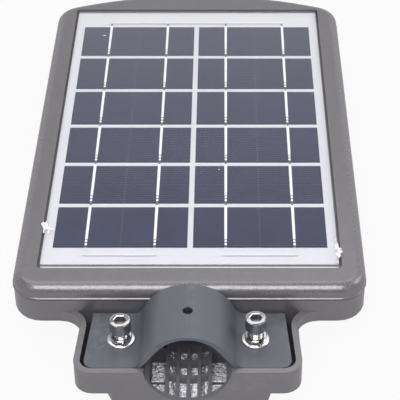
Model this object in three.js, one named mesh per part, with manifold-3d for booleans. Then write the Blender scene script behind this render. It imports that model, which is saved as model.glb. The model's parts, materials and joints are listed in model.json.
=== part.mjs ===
// Solar street lamp head: a flat lamp body with its own solar panel on top, and a
// neck at one end that a clamp cap holds on the end of a lamp arm.
// Millimetres, +Z up. The panel looks up, the light shines down and the socket for
// the lamp arm opens towards -Y. The origin is under the middle of the lamp, on the
// plane that its underside rests on.

import * as THREE from "three";
import { mergeVertices } from "three/addons/utils/BufferGeometryUtils.js";
import Module from "manifold-3d";

const wasm = await Module();
wasm.setup();

// Solar panel
const cellColumns = 2;
const cellRows = 6;
const cellWidth = 78;
const cellDepth = 38.1;
const cellThickness = 0.4;
const columnGap = 3.3;
const rowGap = 3.9;
const panelSideMargin = 5.75;
const panelNearMargin = 16.7;
const panelFarMargin = 20.5;
const glassThickness = 1.6;
const backsheetThickness = 0.8;
const ribbonWidth = 1.7;
const ribbonThickness = 0.2;
const ribbonOffset = 20;
const nearStripSetback = 6.3;
const farStripSetback = 5.9;
const stripWidth = 2.6;

// Housing
const panelSideGap = 1.5;
const panelNearGap = 3.3;
const panelFarGap = 2.7;
const sideBand = 13.5;
const nearBand = 17;
const noseBand = 24.2;
const noseRadius = 238;
const nearCornerRadius = 16;
const farCornerRadius = 18;
const footCornerRadius = 8;
const recessCornerRadius = 2.5;
const glassCornerRadius = 1.2;
const lowerHeight = 39.2;
const gasketThickness = 0.8;
const upperHeight = 8.8;
const topRounding = 6;
const glassRecess = 0.3;
const panelFloorThickness = 2.4;
const lowerWall = 2.6;
const upperWall = 3;
const floorThickness = 2.6;
const flankHeight = 23.7;
const flankInset = 30;
const flankRounding = 4;
const lipHeight = 0.5;
const lipReach = 0.6;
const gasketInset = 0.9;
const gasketWidth = 1.4;

// Neck with the socket for the lamp arm
const neckLength = 49.5;
const neckRimHeight = 31;
const neckSkirtHeight = 15.7;
const neckFloorThickness = 3;
const trayDrop = 5;
const neckWall = 3.5;
const neckFlare = 1.6;
const neckCornerRadius = 10.5;
const neckFilletRadius = 12;
const saddleFrontHalfWidth = 41.4;
const saddleTopHalfWidth = 48;
const saddleFootHalfWidth = 42.5;
const saddleChamferDepth = 9;
const neckRibs = 3;
const neckRibThickness = 2;
const boreRadius = 24;
const boreFloorHeight = 9.3;
const boreEndGap = 2;
const saddleSkin = 2.6;
const saddleLip = 3;
const saddleRibThickness = 2;
const saddleWebPitch = 6;
const saddleWebs = 5;
const frontPocketLength = 15.2;
const rearPocketLength = 10.3;
const rearPocketRows = 2;
const pocketDepth = 4.6;
const sidePocketWidth = 8;
const sidePocketReach = 32.6;
const sidePocketFloor = 4.2;
const sideRibTop = 6;

// Clamp cap, its screws and washers
const socketHeight = 41.8;
const archRadius = 20.5;
const archFlankAngle = 37;
const crownWall = 1.7;
const domeDrop = 5.4;
const domeFillet = 6.5;
const spotFaceGap = 0.5;
const flangeThickness = 3.6;
const flangeGap = 2.3;
const flangeEndGap = 0.3;
const flangeRearGap = 1.6;
const flangeRearInset = 1;
const flangeCornerRadius = 6;
const flangeReach = 17.9;
const capHoleRadius = 2.85;
const screwWebWidth = 13.2;
const screwDiameter = 8;
const screwLength = 35;
const screwHeadDiameter = 11.8;
const screwHeadHeight = 8;
const screwHeadRounding = 0.7;
const screwTipChamfer = 0.8;
const screwSocketWidth = 6;
const screwSocketDepth = 4.5;
const shankClearance = 0.4;
const leftShankShowing = 3;
const rightShankShowing = 4.6;
const washerDiameter = 16;
const washerThickness = 1.6;
const springWasherDiameter = 12.3;
const springWasherThickness = 2;
const springWasherRise = 0.6;
const springWasherSplit = 14;
const springWasherSlant = 9;
const nutWidth = 13;
const nutHeight = 6.5;
const nutClearance = 0.3;
const nutRoof = 8;

// Light on the underside
const lightSetback = 120;
const lensWidth = 128;
const lensLength = 96;
const lensCornerRadius = 5;
const lensThickness = 2;
const lensRecess = 5;
const lensClearance = 0.3;
const lensSealWidth = 5;
const lensSealThickness = 0.8;
const panThickness = 2.6;
const ledColumns = 9;
const ledRows = 4;
const ledPitchX = 13;
const ledPitchY = 20;
const ledSize = 3;
const ledHeight = 0.8;
const ledLensRadius = 4.6;
const ledLensHeight = 1.7;
const ledBoardMargin = 2;
const boardThickness = 1.6;

// Motion sensor and push button on the underside
const sensorSetback = 49;
const sensorPanRadius = 15;
const sensorPanDepth = 9;
const sensorDomeRadius = 11;
const sensorDomeHeight = 6.2;
const sensorDomeWall = 1;
const sensorFlangeRadius = 13;
const sensorBoardSize = 27;
const sensorCanRadius = 4.6;
const sensorCanHeight = 4;
const buttonSetback = 144;
const buttonPanRadius = 11;
const buttonPanDepth = 5;
const buttonRadius = 6;
const buttonCollarRadius = 7.5;
const buttonCollarThickness = 1;
const buttonRecess = 1.6;
const buttonTravel = 1.2;
const switchWidth = 26;
const switchDepth = 12;
const switchHeight = 8;
const switchPostWidth = 4;
const runningGap = 0.3;

// Housing screws and the posts they stand in
const postRows = 4;
const postOffset = 80;
const postNearSetback = 19.5;
const postFarSetback = 41;
const postRadius = 5;
const bossRadius = 4;
const bossHoleRadius = 2;
const postSplitHeight = 30;
const housingScrewRadius = 1.7;
const housingScrewHeadRadius = 3.4;
const housingScrewHeadHeight = 2.4;
const housingScrewSeat = 20;
const housingScrewLength = 16;

// Battery, controller and leads inside
const batteryCells = 4;
const batteryRadius = 9.2;
const batteryLength = 65;
const batteryPitch = 19.6;
const batteryCapRadius = 3;
const batteryCapHeight = 1;
const holderBase = 2;
const holderHeight = 7;
const holderEndWall = 2;
const holderEndHeight = 15;
const innerSetback = 72.5;
const innerGap = 2.6;
const controllerWidth = 58;
const controllerLength = 66;
const controllerStandoff = 6;
const standoffRadius = 3;
const standoffInset = 5;
const terminalWidth = 24;
const terminalDepth = 9;
const terminalHeight = 10;
const junctionBoxWidth = 44;
const junctionBoxLength = 26;
const junctionBoxHeight = 9;
const junctionBoxSetback = 78;
const junctionSlotMargin = 8;
const coilRadius = 8;
const coilHeight = 9;
const coilOffset = 14;
const capacitorRadius = 5;
const capacitorHeight = 12;
const capacitorOffset = 12;
const chipWidth = 12;
const chipDepth = 9;
const chipHeight = 2;
const componentSetback = 11;
const leadRadius = 1.6;
const leadPitch = 6;
const leadEntryDrop = 4;
const leadStraight = 4;
const leadRun = 14;
const leadArch = 10;
const junctionLeadOffset = 10;

// Sealant left at the near corners of the panel
const sealantSpread = 1.1;
const sealantHeight = 0.9;
const leftSealantLength = 8;
const rightSealantLength = 15;
const leftSealantSetback = 35.6;
const rightSealantSetback = 13.4;

// Places worked out from the sizes above
const panelWidth = cellColumns * (cellWidth + columnGap) - columnGap + 2 * panelSideMargin;
const cellBlockLength = cellRows * (cellDepth + rowGap) - rowGap;
const panelLength = cellBlockLength + panelNearMargin + panelFarMargin;
const bodyWidth = panelWidth + 2 * (panelSideGap + sideBand);
const bodyLength = nearBand + panelNearGap + panelLength + panelFarGap + noseBand;
const noseY = (bodyLength + neckLength - lipReach) / 2;
const endWallY = noseY - bodyLength;
const neckFrontY = endWallY - neckLength;
const panelNearY = endWallY + nearBand + panelNearGap;
const panelFarY = panelNearY + panelLength;
const cellStartY = panelNearY + panelNearMargin;
const cellEndY = cellStartY + cellBlockLength;
const upperFloorZ = lowerHeight + gasketThickness;
const topZ = upperFloorZ + upperHeight;
const glassTopZ = topZ - glassRecess;
const glassZ = glassTopZ - glassThickness;
const cellZ = glassZ - cellThickness - ribbonThickness;
const backsheetZ = cellZ - backsheetThickness;
const panelFloorUnderZ = backsheetZ - panelFloorThickness;
const flankWall = lowerWall * Math.hypot(flankInset, flankHeight) / flankHeight;

const screwOffset = boreRadius + screwWebWidth;
const neckHalfWidth = screwOffset + flangeReach + flangeGap + neckWall;
const neckFloorZ = neckRimHeight - flangeThickness;
const trayFloorZ = neckFloorZ - trayDrop;
const neckSkirtZ = neckRimHeight - neckSkirtHeight;
const neckRearY = endWallY - neckFilletRadius;
const boreZ = boreFloorHeight + boreRadius;
const boreEndY = endWallY - boreEndGap;
const saddleStartY = neckFrontY + saddleLip;
const saddleRibY = saddleStartY + frontPocketLength + saddleRibThickness;
const archZ = boreFloorHeight + socketHeight - archRadius;
const domeRadius = archRadius + domeDrop + crownWall;
const domeZ = archZ - domeDrop;
const capFrontY = neckFrontY + neckWall + flangeEndGap;
const capRearY = endWallY - flangeRearGap;
const clampY = (capFrontY + capRearY) / 2;
const springWasherZ = neckRimHeight + washerThickness;
const springWasherTopZ = springWasherZ + springWasherThickness + springWasherRise;
const screwHoleRadius = screwDiameter / 2 + shankClearance;
const nutTopZ = neckFloorZ - nutRoof;
const nutZ = nutTopZ - nutHeight;

const lightY = noseY - lightSetback;
const sensorY = noseY - sensorSetback;
const buttonY = endWallY + buttonSetback;
const lensTopZ = lensRecess - lensSealThickness;
const lensZ = lensTopZ - lensThickness;
const boardZ = lensRecess + panThickness;
const buttonSeatZ = buttonPanDepth + panThickness;
const switchZ = buttonSeatZ + buttonCollarThickness + buttonTravel + runningGap;
const postNearY = endWallY + postNearSetback;
const postFarY = noseY - postFarSetback;
const postPitch = (postFarY - postNearY) / (postRows - 1);
const innerY = endWallY + innerSetback;
const innerReach = bodyWidth / 2 - flankInsetAt(floorThickness) - flankWall - innerGap;
const holderInnerWidth = batteryLength + batteryCapHeight + 2 * runningGap;
const holderWidth = holderInnerWidth + 2 * holderEndWall;
const holderMiddleX = holderWidth / 2 - innerReach;
const controllerMiddleX = innerReach - controllerWidth / 2;
const holderZ = floorThickness + holderBase;
const batteryZ = holderZ + batteryRadius;
const controllerZ = floorThickness + controllerStandoff;
const terminalY = innerY + controllerLength / 2 - terminalDepth;
const terminalTopZ = controllerZ + boardThickness + terminalHeight;
const junctionBoxY = panelFarY - junctionBoxSetback;
const junctionBoxZ = panelFloorUnderZ - junctionBoxHeight;

// Materials
const finish = (color, roughness, metalness = 0) =>
  new THREE.MeshStandardMaterial({ color, roughness, metalness });
const materials = {
  housing: finish(0x96949a, 0.55),
  cap: finish(0x6a6b74, 0.55),
  rubber: finish(0x1c1c1e, 0.8),
  glass: finish(0xdfe6ee, 0.06),
  backsheet: finish(0xe7e9ed, 0.5),
  cell: finish(0x565870, 0.35),
  ribbon: finish(0xd9dade, 0.4, 0.6),
  sealant: finish(0xf2f2f0, 0.5),
  steel: finish(0xc4c6c9, 0.25, 1),
  lens: finish(0xe9eef2, 0.1),
  aluminium: finish(0xd2d4d6, 0.4, 1),
  board: finish(0x1f5a36, 0.5),
  blackPlastic: finish(0x222224, 0.5),
  battery: finish(0x2f62a8, 0.45),
  milky: finish(0xeceff1, 0.45),
  lead: finish(0x8c1c1c, 0.5),
};

// Turns a three.js geometry into a solid that can be joined and cut.
function toSolid(geometry) {
  const bare = geometry.clone();
  bare.deleteAttribute("normal");
  bare.deleteAttribute("uv");
  const merged = mergeVertices(bare);
  const corners = [];
  for (let i = 0; i < merged.index.count; i += 3) {
    const [a, b, c] = [0, 1, 2].map((k) => merged.index.getX(i + k));
    if (a !== b && b !== c && c !== a) corners.push(a, b, c);
  }
  return new wasm.Manifold(new wasm.Mesh({
    numProp: 3,
    vertProperties: new Float32Array(merged.attributes.position.array),
    triVerts: new Uint32Array(corners),
  }));
}

// Turns a solid back into a flat-shaded geometry.
function toGeometry(solid) {
  const mesh = solid.getMesh();
  const indexed = new THREE.BufferGeometry();
  indexed.setAttribute("position", new THREE.BufferAttribute(mesh.vertProperties, 3));
  indexed.setIndex(new THREE.BufferAttribute(mesh.triVerts, 1));
  const geometry = indexed.toNonIndexed();
  geometry.computeVertexNormals();
  return geometry;
}

const joinAll = (solids) => solids.reduce((whole, piece) => whole.add(piece));

// Closes a row of rings of equal point count into one skin. Seen against the way
// the row runs, each ring goes round counter-clockwise.
function skin(rings, flatRing) {
  const count = rings[0].length;
  const points = rings.flat();
  const indices = [];
  for (let level = 0; level < rings.length - 1; level += 1) {
    for (let i = 0; i < count; i += 1) {
      const a = level * count + i;
      const b = level * count + ((i + 1) % count);
      indices.push(a, b, b + count, a, b + count, a + count);
    }
  }
  const last = (rings.length - 1) * count;
  for (const [a, b, c] of THREE.ShapeUtils.triangulateShape(flatRing, [])) {
    indices.push(c, b, a, last + a, last + b, last + c);
  }
  const geometry = new THREE.BufferGeometry().setFromPoints(points);
  geometry.setIndex(indices);
  return toSolid(geometry);
}

// Lofts an outline, given by its inset, through a list of levels, lowest first.
function loft(outline, levels) {
  const ring = ({ z, inset }) => outline(inset).map((p) => new THREE.Vector3(p.x, p.y, z));
  return skin(levels.map(ring), outline(levels[0].inset));
}

const prism = (points, fromZ, toZ) => loft(() => points, [{ z: fromZ, inset: 0 }, { z: toZ, inset: 0 }]);

// Extrudes a profile drawn in X and Z along Y.
function profileAlongY(points, fromY, toY) {
  const ring = (y) => points.map((p) => new THREE.Vector3(p.x, y, p.y)).reverse();
  return skin([ring(fromY), ring(toY)], points.map((p) => new THREE.Vector2(-p.x, p.y)).reverse());
}

function block([x0, x1], [y0, y1], [z0, z1]) {
  const box = new THREE.BoxGeometry(x1 - x0, y1 - y0, z1 - z0);
  box.translate((x0 + x1) / 2, (y0 + y1) / 2, (z0 + z1) / 2);
  return toSolid(box);
}

const centredBlock = (x, y, width, depth, heights) =>
  block([x - width / 2, x + width / 2], [y - depth / 2, y + depth / 2], heights);

function rodZ(x, y, radius, [z0, z1], facets = 26) {
  const rod = new THREE.CylinderGeometry(radius, radius, z1 - z0, facets);
  rod.rotateX(Math.PI / 2);
  rod.translate(x, y, (z0 + z1) / 2);
  return toSolid(rod);
}

function rodY(x, z, radius, [y0, y1], facets = 52) {
  const rod = new THREE.CylinderGeometry(radius, radius, y1 - y0, facets);
  rod.translate(x, (y0 + y1) / 2, z);
  return toSolid(rod);
}

function rodX(y, z, radius, [x0, x1], facets = 20) {
  const rod = new THREE.CylinderGeometry(radius, radius, x1 - x0, facets);
  rod.rotateZ(Math.PI / 2);
  rod.translate((x0 + x1) / 2, y, z);
  return toSolid(rod);
}

// A hexagon bar, with two of its flats facing along Y.
function hexagonZ(x, y, width, heights) {
  const radius = width / Math.sqrt(3);
  const bar = new THREE.CylinderGeometry(radius, radius, heights[1] - heights[0], 6);
  bar.rotateY(Math.PI / 2);
  bar.rotateX(Math.PI / 2);
  bar.translate(x, y, (heights[0] + heights[1]) / 2);
  return toSolid(bar);
}

// Revolves a profile of [radius, z] pairs, lowest first, about a line along Z.
function revolve(x, y, profile, facets = 26) {
  const turned = new THREE.LatheGeometry(profile.map(([r, z]) => new THREE.Vector2(r, z)), facets);
  turned.rotateX(Math.PI / 2);
  turned.translate(x, y, 0);
  return toSolid(turned);
}

// Points of an arc, from one angle to another, both in degrees.
function arc(x, y, radius, fromAngle, toAngle, steps) {
  return Array.from({ length: steps + 1 }, (_, i) => {
    const angle = THREE.MathUtils.degToRad(fromAngle + ((toAngle - fromAngle) * i) / steps);
    return new THREE.Vector2(x + radius * Math.cos(angle), y + radius * Math.sin(angle));
  });
}

const mirrorX = (points) => points.map((p) => new THREE.Vector2(-p.x, p.y)).reverse();

function roundedRectangle([x0, x1], [y0, y1], radius, steps = 4) {
  return [
    ...arc(x1 - radius, y0 + radius, radius, -90, 0, steps),
    ...arc(x1 - radius, y1 - radius, radius, 0, 90, steps),
    ...arc(x0 + radius, y1 - radius, radius, 90, 180, steps),
    ...arc(x0 + radius, y0 + radius, radius, 180, 270, steps),
  ];
}

// Outline of the lamp body: straight sides, rounded corners and one wide nose arc.
function bodyOutline(inset) {
  const nearRadius = Math.max(nearCornerRadius - inset, footCornerRadius);
  const farRadius = Math.max(farCornerRadius - inset, footCornerRadius);
  const halfWidth = bodyWidth / 2 - inset;
  const cornerX = halfWidth - farRadius;
  const noseCentreY = noseY - noseRadius;
  const cornerReach = noseRadius - inset - farRadius;
  const cornerY = noseCentreY + Math.sqrt(cornerReach ** 2 - cornerX ** 2);
  const turn = THREE.MathUtils.radToDeg(Math.atan2(cornerY - noseCentreY, cornerX));
  const right = [
    ...arc(halfWidth - nearRadius, endWallY + inset + nearRadius, nearRadius, -90, 0, 6),
    ...arc(cornerX, cornerY, farRadius, 0, turn, 6),
    ...arc(0, noseCentreY, noseRadius - inset, turn, 90, 9).slice(1),
  ];
  return [...right, ...mirrorX(right.slice(0, -1))];
}

const glassOutline = () => roundedRectangle(
  [-panelWidth / 2, panelWidth / 2],
  [panelNearY, panelFarY],
  glassCornerRadius,
);

// Outline of the recess round the glass, grown by a wall.
function recessOutline(wall) {
  const halfWidth = panelWidth / 2 + panelSideGap + wall;
  const spanY = [panelNearY - panelNearGap - wall, panelFarY + panelFarGap + wall];
  return roundedRectangle([-halfWidth, halfWidth], spanY, recessCornerRadius + wall);
}

// Inset of the sloping lower flank at a height, from the full inset at the foot to none.
function flankInsetAt(z) {
  return flankInset * (1 - Math.min(z / flankHeight, 1));
}

// The flank runs straight up from the foot and turns into the upright wall by a rounding.
function lowerShell() {
  const steps = 3;
  const slope = Math.atan2(flankHeight, flankInset);
  const turn = Math.PI / 2 - slope;
  const roundingZ = flankHeight + flankRounding * Math.tan(turn / 2);
  const levels = [{ z: 0, inset: flankInset }];
  for (let i = 0; i <= steps; i += 1) {
    const angle = turn * (1 - i / steps);
    levels.push({
      z: roundingZ - flankRounding * Math.sin(angle),
      inset: flankRounding * (1 - Math.cos(angle)),
    });
  }
  levels.push({ z: lowerHeight, inset: 0 });
  return loft(bodyOutline, levels);
}

function lowerCavity() {
  const kneeZ = flankHeight * (1 + (flankWall - lowerWall) / flankInset);
  return loft(bodyOutline, [
    { z: floorThickness, inset: flankInsetAt(floorThickness) + flankWall },
    { z: kneeZ, inset: lowerWall },
    { z: lowerHeight + 1, inset: lowerWall },
  ]);
}

// Plan with a rounded front corner and the given points behind it, on both sides.
function roundedFront(frontX, frontY, radius, behind) {
  const right = [...arc(frontX - radius, frontY + radius, radius, -90, 0, 6), ...behind];
  return [...right, ...mirrorX(right)];
}

// Plan of the neck's rim, drawn in by an inset, with the concave fillets that carry it
// out into the end wall.
function rimPlan(inset, tail) {
  const filletX = neckHalfWidth + neckFilletRadius;
  const turn = THREE.MathUtils.radToDeg(Math.asin(neckFilletRadius / (neckFilletRadius + inset)));
  const fillet = arc(filletX, neckRearY, neckFilletRadius + inset, 180, 180 - turn, 6);
  const frontX = neckHalfWidth + neckFlare - inset;
  return roundedFront(frontX, neckFrontY + inset, neckCornerRadius - inset, [...fillet, ...tail]);
}

// The tray that the clamp cap lies in. Beside the saddle it is deeper than the cap's flange.
function neckTray() {
  const floorUnderZ = trayFloorZ - neckFloorThickness;
  const innerFrontY = neckFrontY + neckWall;
  const frontX = neckHalfWidth + neckFlare;
  const rimTail = new THREE.Vector2(neckHalfWidth + neckFilletRadius, endWallY + lowerWall / 2);
  const skirtTail = new THREE.Vector2(neckHalfWidth, endWallY + flankInsetAt(neckSkirtZ) + lowerWall);
  const skirtPlan = roundedFront(frontX, neckFrontY, neckCornerRadius, [skirtTail]);
  const rim = prism(rimPlan(0, [rimTail]), flankHeight, neckRimHeight);
  const skirt = prism(skirtPlan, neckSkirtZ, neckFloorZ);
  const pocket = prism(rimPlan(neckWall, []), trayFloorZ, neckRimHeight + 1);
  const under = prism(rimPlan(neckWall, []), neckSkirtZ - 1, floorUnderZ);
  const ribs = [];
  for (let i = 0; i < neckRibs; i += 1) {
    const y = innerFrontY + ((i + 1) * (endWallY - innerFrontY)) / (neckRibs + 1);
    const heights = [neckSkirtZ, floorUnderZ + 1];
    ribs.push(centredBlock(0, y, 2 * neckHalfWidth - neckWall, neckRibThickness, heights));
  }
  return rim.add(skirt).subtract(pocket).subtract(under.subtract(joinAll(ribs)));
}

// Plan of the saddle: a flat front with its corners cut back to the flanks.
function saddlePlan(inset) {
  const flankX = saddleTopHalfWidth - inset;
  const right = [
    new THREE.Vector2(saddleFrontHalfWidth, neckFrontY),
    new THREE.Vector2(flankX, neckFrontY + saddleChamferDepth),
    new THREE.Vector2(flankX, endWallY + flankInset + lowerWall),
  ];
  return [...right, ...mirrorX(right)];
}

// Saddle under the bore, narrower towards its foot.
const saddleBlock = () => loft(saddlePlan, [
  { z: 0, inset: saddleTopHalfWidth - saddleFootHalfWidth },
  { z: neckSkirtZ, inset: 0 },
  { z: neckFloorZ, inset: 0 },
]);

// The egg-crate of pockets that opens into the bore, between webs and cross ribs. Their
// floors lie on a cylinder about the bore.
function saddlePockets() {
  const clearWidth = saddleWebPitch - saddleRibThickness;
  const middle = (saddleWebs - 1) / 2;
  const spans = [[saddleStartY, saddleRibY - saddleRibThickness]];
  for (let row = 0; row < rearPocketRows; row += 1) {
    const y = saddleRibY + row * (rearPocketLength + saddleRibThickness);
    spans.push([y, y + rearPocketLength]);
  }
  const pockets = [];
  for (let web = -middle; web < middle; web += 1) {
    const x = (web + 0.5) * saddleWebPitch;
    const width = [x - clearWidth / 2, x + clearWidth / 2];
    for (const span of spans) pockets.push(block(width, span, [0, boreZ]));
  }
  return joinAll(pockets).intersect(rodY(0, boreZ, boreRadius + pocketDepth, [saddleStartY, boreEndY]));
}

// One wide pocket on each side of the webs, with a low rib across it and a short pocket
// behind its end wall.
function sidePockets() {
  const wallY = saddleStartY + sidePocketReach;
  const innerX = ((saddleWebs - 1) * saddleWebPitch + saddleRibThickness) / 2;
  const width = [innerX, innerX + sidePocketWidth];
  const right = joinAll([
    block(width, [saddleStartY, wallY], [sideRibTop, boreZ]),
    block(width, [saddleStartY, saddleRibY - saddleRibThickness], [sidePocketFloor, boreZ]),
    block(width, [saddleRibY, wallY], [sidePocketFloor, boreZ]),
    block(width, [wallY + saddleRibThickness, boreEndY - saddleRibThickness], [sidePocketFloor, boreZ]),
  ]);
  return right.add(right.mirror([1, 0, 0]));
}

// A pan in the floor of the lower housing, open below, made of an outer and an inner prism.
const pan = (outer, depth) => prism(outer, floorThickness / 2, depth + panThickness);

const sides = [-1, 1];

function postPlaces() {
  const places = [];
  for (let row = 0; row < postRows; row += 1) {
    for (const side of sides) places.push({ x: side * postOffset, y: postNearY + row * postPitch });
  }
  return places;
}

const circle = (x, y, radius, steps = 32) => arc(x, y, radius, 0, 360, steps).slice(0, -1);

const lensPlan = (growth) => roundedRectangle(
  [-lensWidth / 2 - growth, lensWidth / 2 + growth],
  [lightY - lensLength / 2 - growth, lightY + lensLength / 2 + growth],
  lensCornerRadius,
);

function standoffPlaces() {
  const reachX = controllerWidth / 2 - standoffInset;
  const reachY = controllerLength / 2 - standoffInset;
  return sides.flatMap((a) => sides.map((b) => [controllerMiddleX + a * reachX, innerY + b * reachY]));
}

// Posts, pans and standoffs that stand inside the lower housing.
function lowerFittings() {
  const foot = floorThickness / 2;
  const switchPostX = (switchWidth - switchPostWidth) / 2;
  return joinAll([
    pan(lensPlan(lensClearance + panThickness), lensRecess),
    pan(circle(0, sensorY, sensorPanRadius + panThickness), sensorPanDepth),
    pan(circle(0, buttonY, buttonPanRadius + panThickness), buttonPanDepth),
    ...postPlaces().map(({ x, y }) => rodZ(x, y, postRadius, [foot, postSplitHeight], 16)),
    ...standoffPlaces().map(([x, y]) => rodZ(x, y, standoffRadius, [foot, controllerZ], 8)),
    ...sides.map((side) =>
      centredBlock(side * switchPostX, buttonY, switchPostWidth, switchDepth, [floorThickness, switchZ])),
  ]);
}

// Openings in the underside for the light, the sensor, the button and the housing screws.
function undersideCuts() {
  const collar = 2 * buttonCollarRadius + 1;
  const headRadius = housingScrewHeadRadius + runningGap;
  const sensorRoofZ = sensorPanDepth + panThickness;
  const screwHole = [housingScrewSeat - 1, postSplitHeight + 1];
  return joinAll([
    prism(lensPlan(lensClearance), -1, lensRecess),
    prism(lensPlan(-lensSealWidth), lensRecess - 1, boardZ + 1),
    rodZ(0, sensorY, sensorPanRadius, [-1, sensorPanDepth]),
    rodZ(0, sensorY, sensorDomeRadius - sensorDomeWall, [sensorPanDepth - 1, sensorRoofZ + 1]),
    rodZ(0, buttonY, buttonPanRadius, [-1, buttonPanDepth]),
    rodZ(0, buttonY, buttonRadius + runningGap, [buttonPanDepth - 1, buttonSeatZ + 1]),
    centredBlock(0, buttonY, collar, collar, [buttonSeatZ, switchZ + 1]),
    ...postPlaces().map(({ x, y }) => rodZ(x, y, headRadius, [-1, housingScrewSeat], 14)),
    ...postPlaces().map(({ x, y }) => rodZ(x, y, bossHoleRadius, screwHole, 10)),
  ]);
}

// The bore, its pockets, and the holes and side slots for the clamp screws and nuts.
function neckCuts() {
  const slotInner = screwOffset - nutWidth / Math.sqrt(3) - nutClearance;
  const slotOuter = neckHalfWidth - neckWall;
  const slotReach = nutWidth / 2 + nutClearance;
  const slot = block(
    [slotInner, slotOuter],
    [clampY - slotReach, clampY + slotReach],
    [nutZ - nutClearance, nutTopZ],
  );
  return joinAll([
    rodY(0, boreZ, boreRadius, [neckFrontY - 1, boreEndY]),
    saddlePockets(),
    sidePockets(),
    slot,
    slot.mirror([1, 0, 0]),
    ...sides.map((side) => rodZ(side * screwOffset, clampY, screwHoleRadius, [saddleSkin, neckFloorZ + 1])),
  ]);
}

function lowerHousing() {
  return joinAll([lowerShell(), neckTray(), saddleBlock()])
    .subtract(lowerCavity())
    .add(lowerFittings().intersect(lowerShell()))
    .subtract(undersideCuts())
    .subtract(neckCuts());
}

function upperHousing() {
  const steps = 6;
  const levels = [
    { z: upperFloorZ, inset: -lipReach },
    { z: upperFloorZ + lipHeight, inset: -lipReach },
    { z: upperFloorZ + lipHeight + lipReach, inset: 0 },
  ];
  for (let i = 0; i <= steps; i += 1) {
    const turn = (Math.PI / 2) * (i / steps);
    levels.push({ z: topZ - topRounding * (1 - Math.sin(turn)), inset: topRounding * (1 - Math.cos(turn)) });
  }
  const bandRoof = topZ - upperWall;
  const hollow = loft(bodyOutline, [
    { z: upperFloorZ - 1, inset: upperWall },
    { z: bandRoof, inset: upperWall },
  ]);
  const panelBox = prism(recessOutline(upperWall), panelFloorUnderZ, topZ + 1);
  const bosses = postPlaces().map(({ x, y }) =>
    rodZ(x, y, bossRadius, [postSplitHeight, panelFloorUnderZ + 1], 12));
  const bossHoles = postPlaces().map(({ x, y }) =>
    rodZ(x, y, bossHoleRadius, [postSplitHeight - 1, panelFloorUnderZ - 1], 10));
  return loft(bodyOutline, levels)
    .subtract(hollow.subtract(panelBox))
    .subtract(prism(recessOutline(0), backsheetZ, topZ + 1))
    .add(joinAll(bosses))
    .subtract(joinAll(bossHoles))
    .subtract(centredBlock(
      0, junctionBoxY, junctionBoxWidth - junctionSlotMargin, junctionBoxLength - junctionSlotMargin,
      [panelFloorUnderZ - 1, backsheetZ + 1],
    ));
}

function housingGasket() {
  const levels = (inset, margin) => [
    { z: lowerHeight - margin, inset },
    { z: upperFloorZ + margin, inset },
  ];
  return loft(bodyOutline, levels(gasketInset, 0))
    .subtract(loft(bodyOutline, levels(gasketInset + gasketWidth, 1)));
}

const columnMiddle = (column) => (column - (cellColumns - 1) / 2) * (cellWidth + columnGap);

function solarCell(column, row) {
  const y = cellStartY + cellDepth / 2 + row * (cellDepth + rowGap);
  return centredBlock(columnMiddle(column), y, cellWidth, cellDepth, [cellZ, cellZ + cellThickness]);
}

// The two ribbons of one column of cells, joined by a strip at the near end.
function stringRibbons(column) {
  const heights = [cellZ + cellThickness, glassZ];
  const nearY = cellStartY - nearStripSetback;
  const farY = cellEndY + farStripSetback - stripWidth / 2;
  const ribbons = sides.map((side) => {
    const x = columnMiddle(column) + side * ribbonOffset;
    return block([x - ribbonWidth / 2, x + ribbonWidth / 2], [nearY, farY], heights);
  });
  const stripLength = 2 * ribbonOffset + ribbonWidth;
  const strip = centredBlock(columnMiddle(column), nearY, stripLength, stripWidth, heights);
  return joinAll([...ribbons, strip]);
}

function farStrip() {
  const reach = columnMiddle(cellColumns - 1) + ribbonOffset + ribbonWidth / 2;
  return centredBlock(0, cellEndY + farStripSetback, 2 * reach, stripWidth, [cellZ + cellThickness, glassZ]);
}

// A short bead of sealant that fills the gap beside the glass and bulges over its edges.
function sealantBead(side, setback, length) {
  const gapX = panelSideGap / 2;
  const middleX = panelWidth / 2 + gapX;
  const steps = 6;
  const bulge = Array.from({ length: steps + 1 }, (_, i) => {
    const turn = (Math.PI * i) / steps;
    const x = (gapX + sealantSpread) * Math.cos(turn);
    return new THREE.Vector2(x, topZ + sealantHeight * Math.sin(turn));
  });
  const profile = [
    new THREE.Vector2(-gapX, backsheetZ),
    new THREE.Vector2(gapX, backsheetZ),
    new THREE.Vector2(gapX, topZ),
    ...bulge.slice(0, -1),
    new THREE.Vector2(-gapX - sealantSpread, glassTopZ),
    new THREE.Vector2(-gapX, glassTopZ),
  ];
  const y = cellStartY + setback - panelNearMargin;
  const bead = profileAlongY(profile, y - length / 2, y + length / 2).translate([middleX, 0, 0]);
  return side < 0 ? bead.mirror([1, 0, 0]) : bead;
}

// Section of the arch under the dome: a crown arc that runs on into two straight flanks.
function archProfile() {
  const crown = arc(0, archZ, archRadius, archFlankAngle, 180 - archFlankAngle, 14);
  const footZ = neckFloorZ - 1;
  const footX = crown[0].x + (crown[0].y - footZ) * Math.tan(THREE.MathUtils.degToRad(archFlankAngle));
  return [new THREE.Vector2(-footX, footZ), new THREE.Vector2(footX, footZ), ...crown];
}

// Section of the dome, with a concave fillet down to the flange on each side.
function domeProfile() {
  const reach = domeRadius + domeFillet;
  const filletZ = neckRimHeight + domeFillet;
  const filletX = Math.sqrt(reach ** 2 - (filletZ - domeZ) ** 2);
  const meet = THREE.MathUtils.radToDeg(Math.atan2(filletZ - domeZ, filletX));
  const right = [
    new THREE.Vector2(filletX, neckFloorZ),
    ...arc(filletX, filletZ, domeFillet, 270, 180 + meet, 6),
    ...arc(0, domeZ, domeRadius, meet, 90, 14).slice(1),
  ];
  return [...right, ...mirrorX(right.slice(0, -1))];
}

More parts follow.
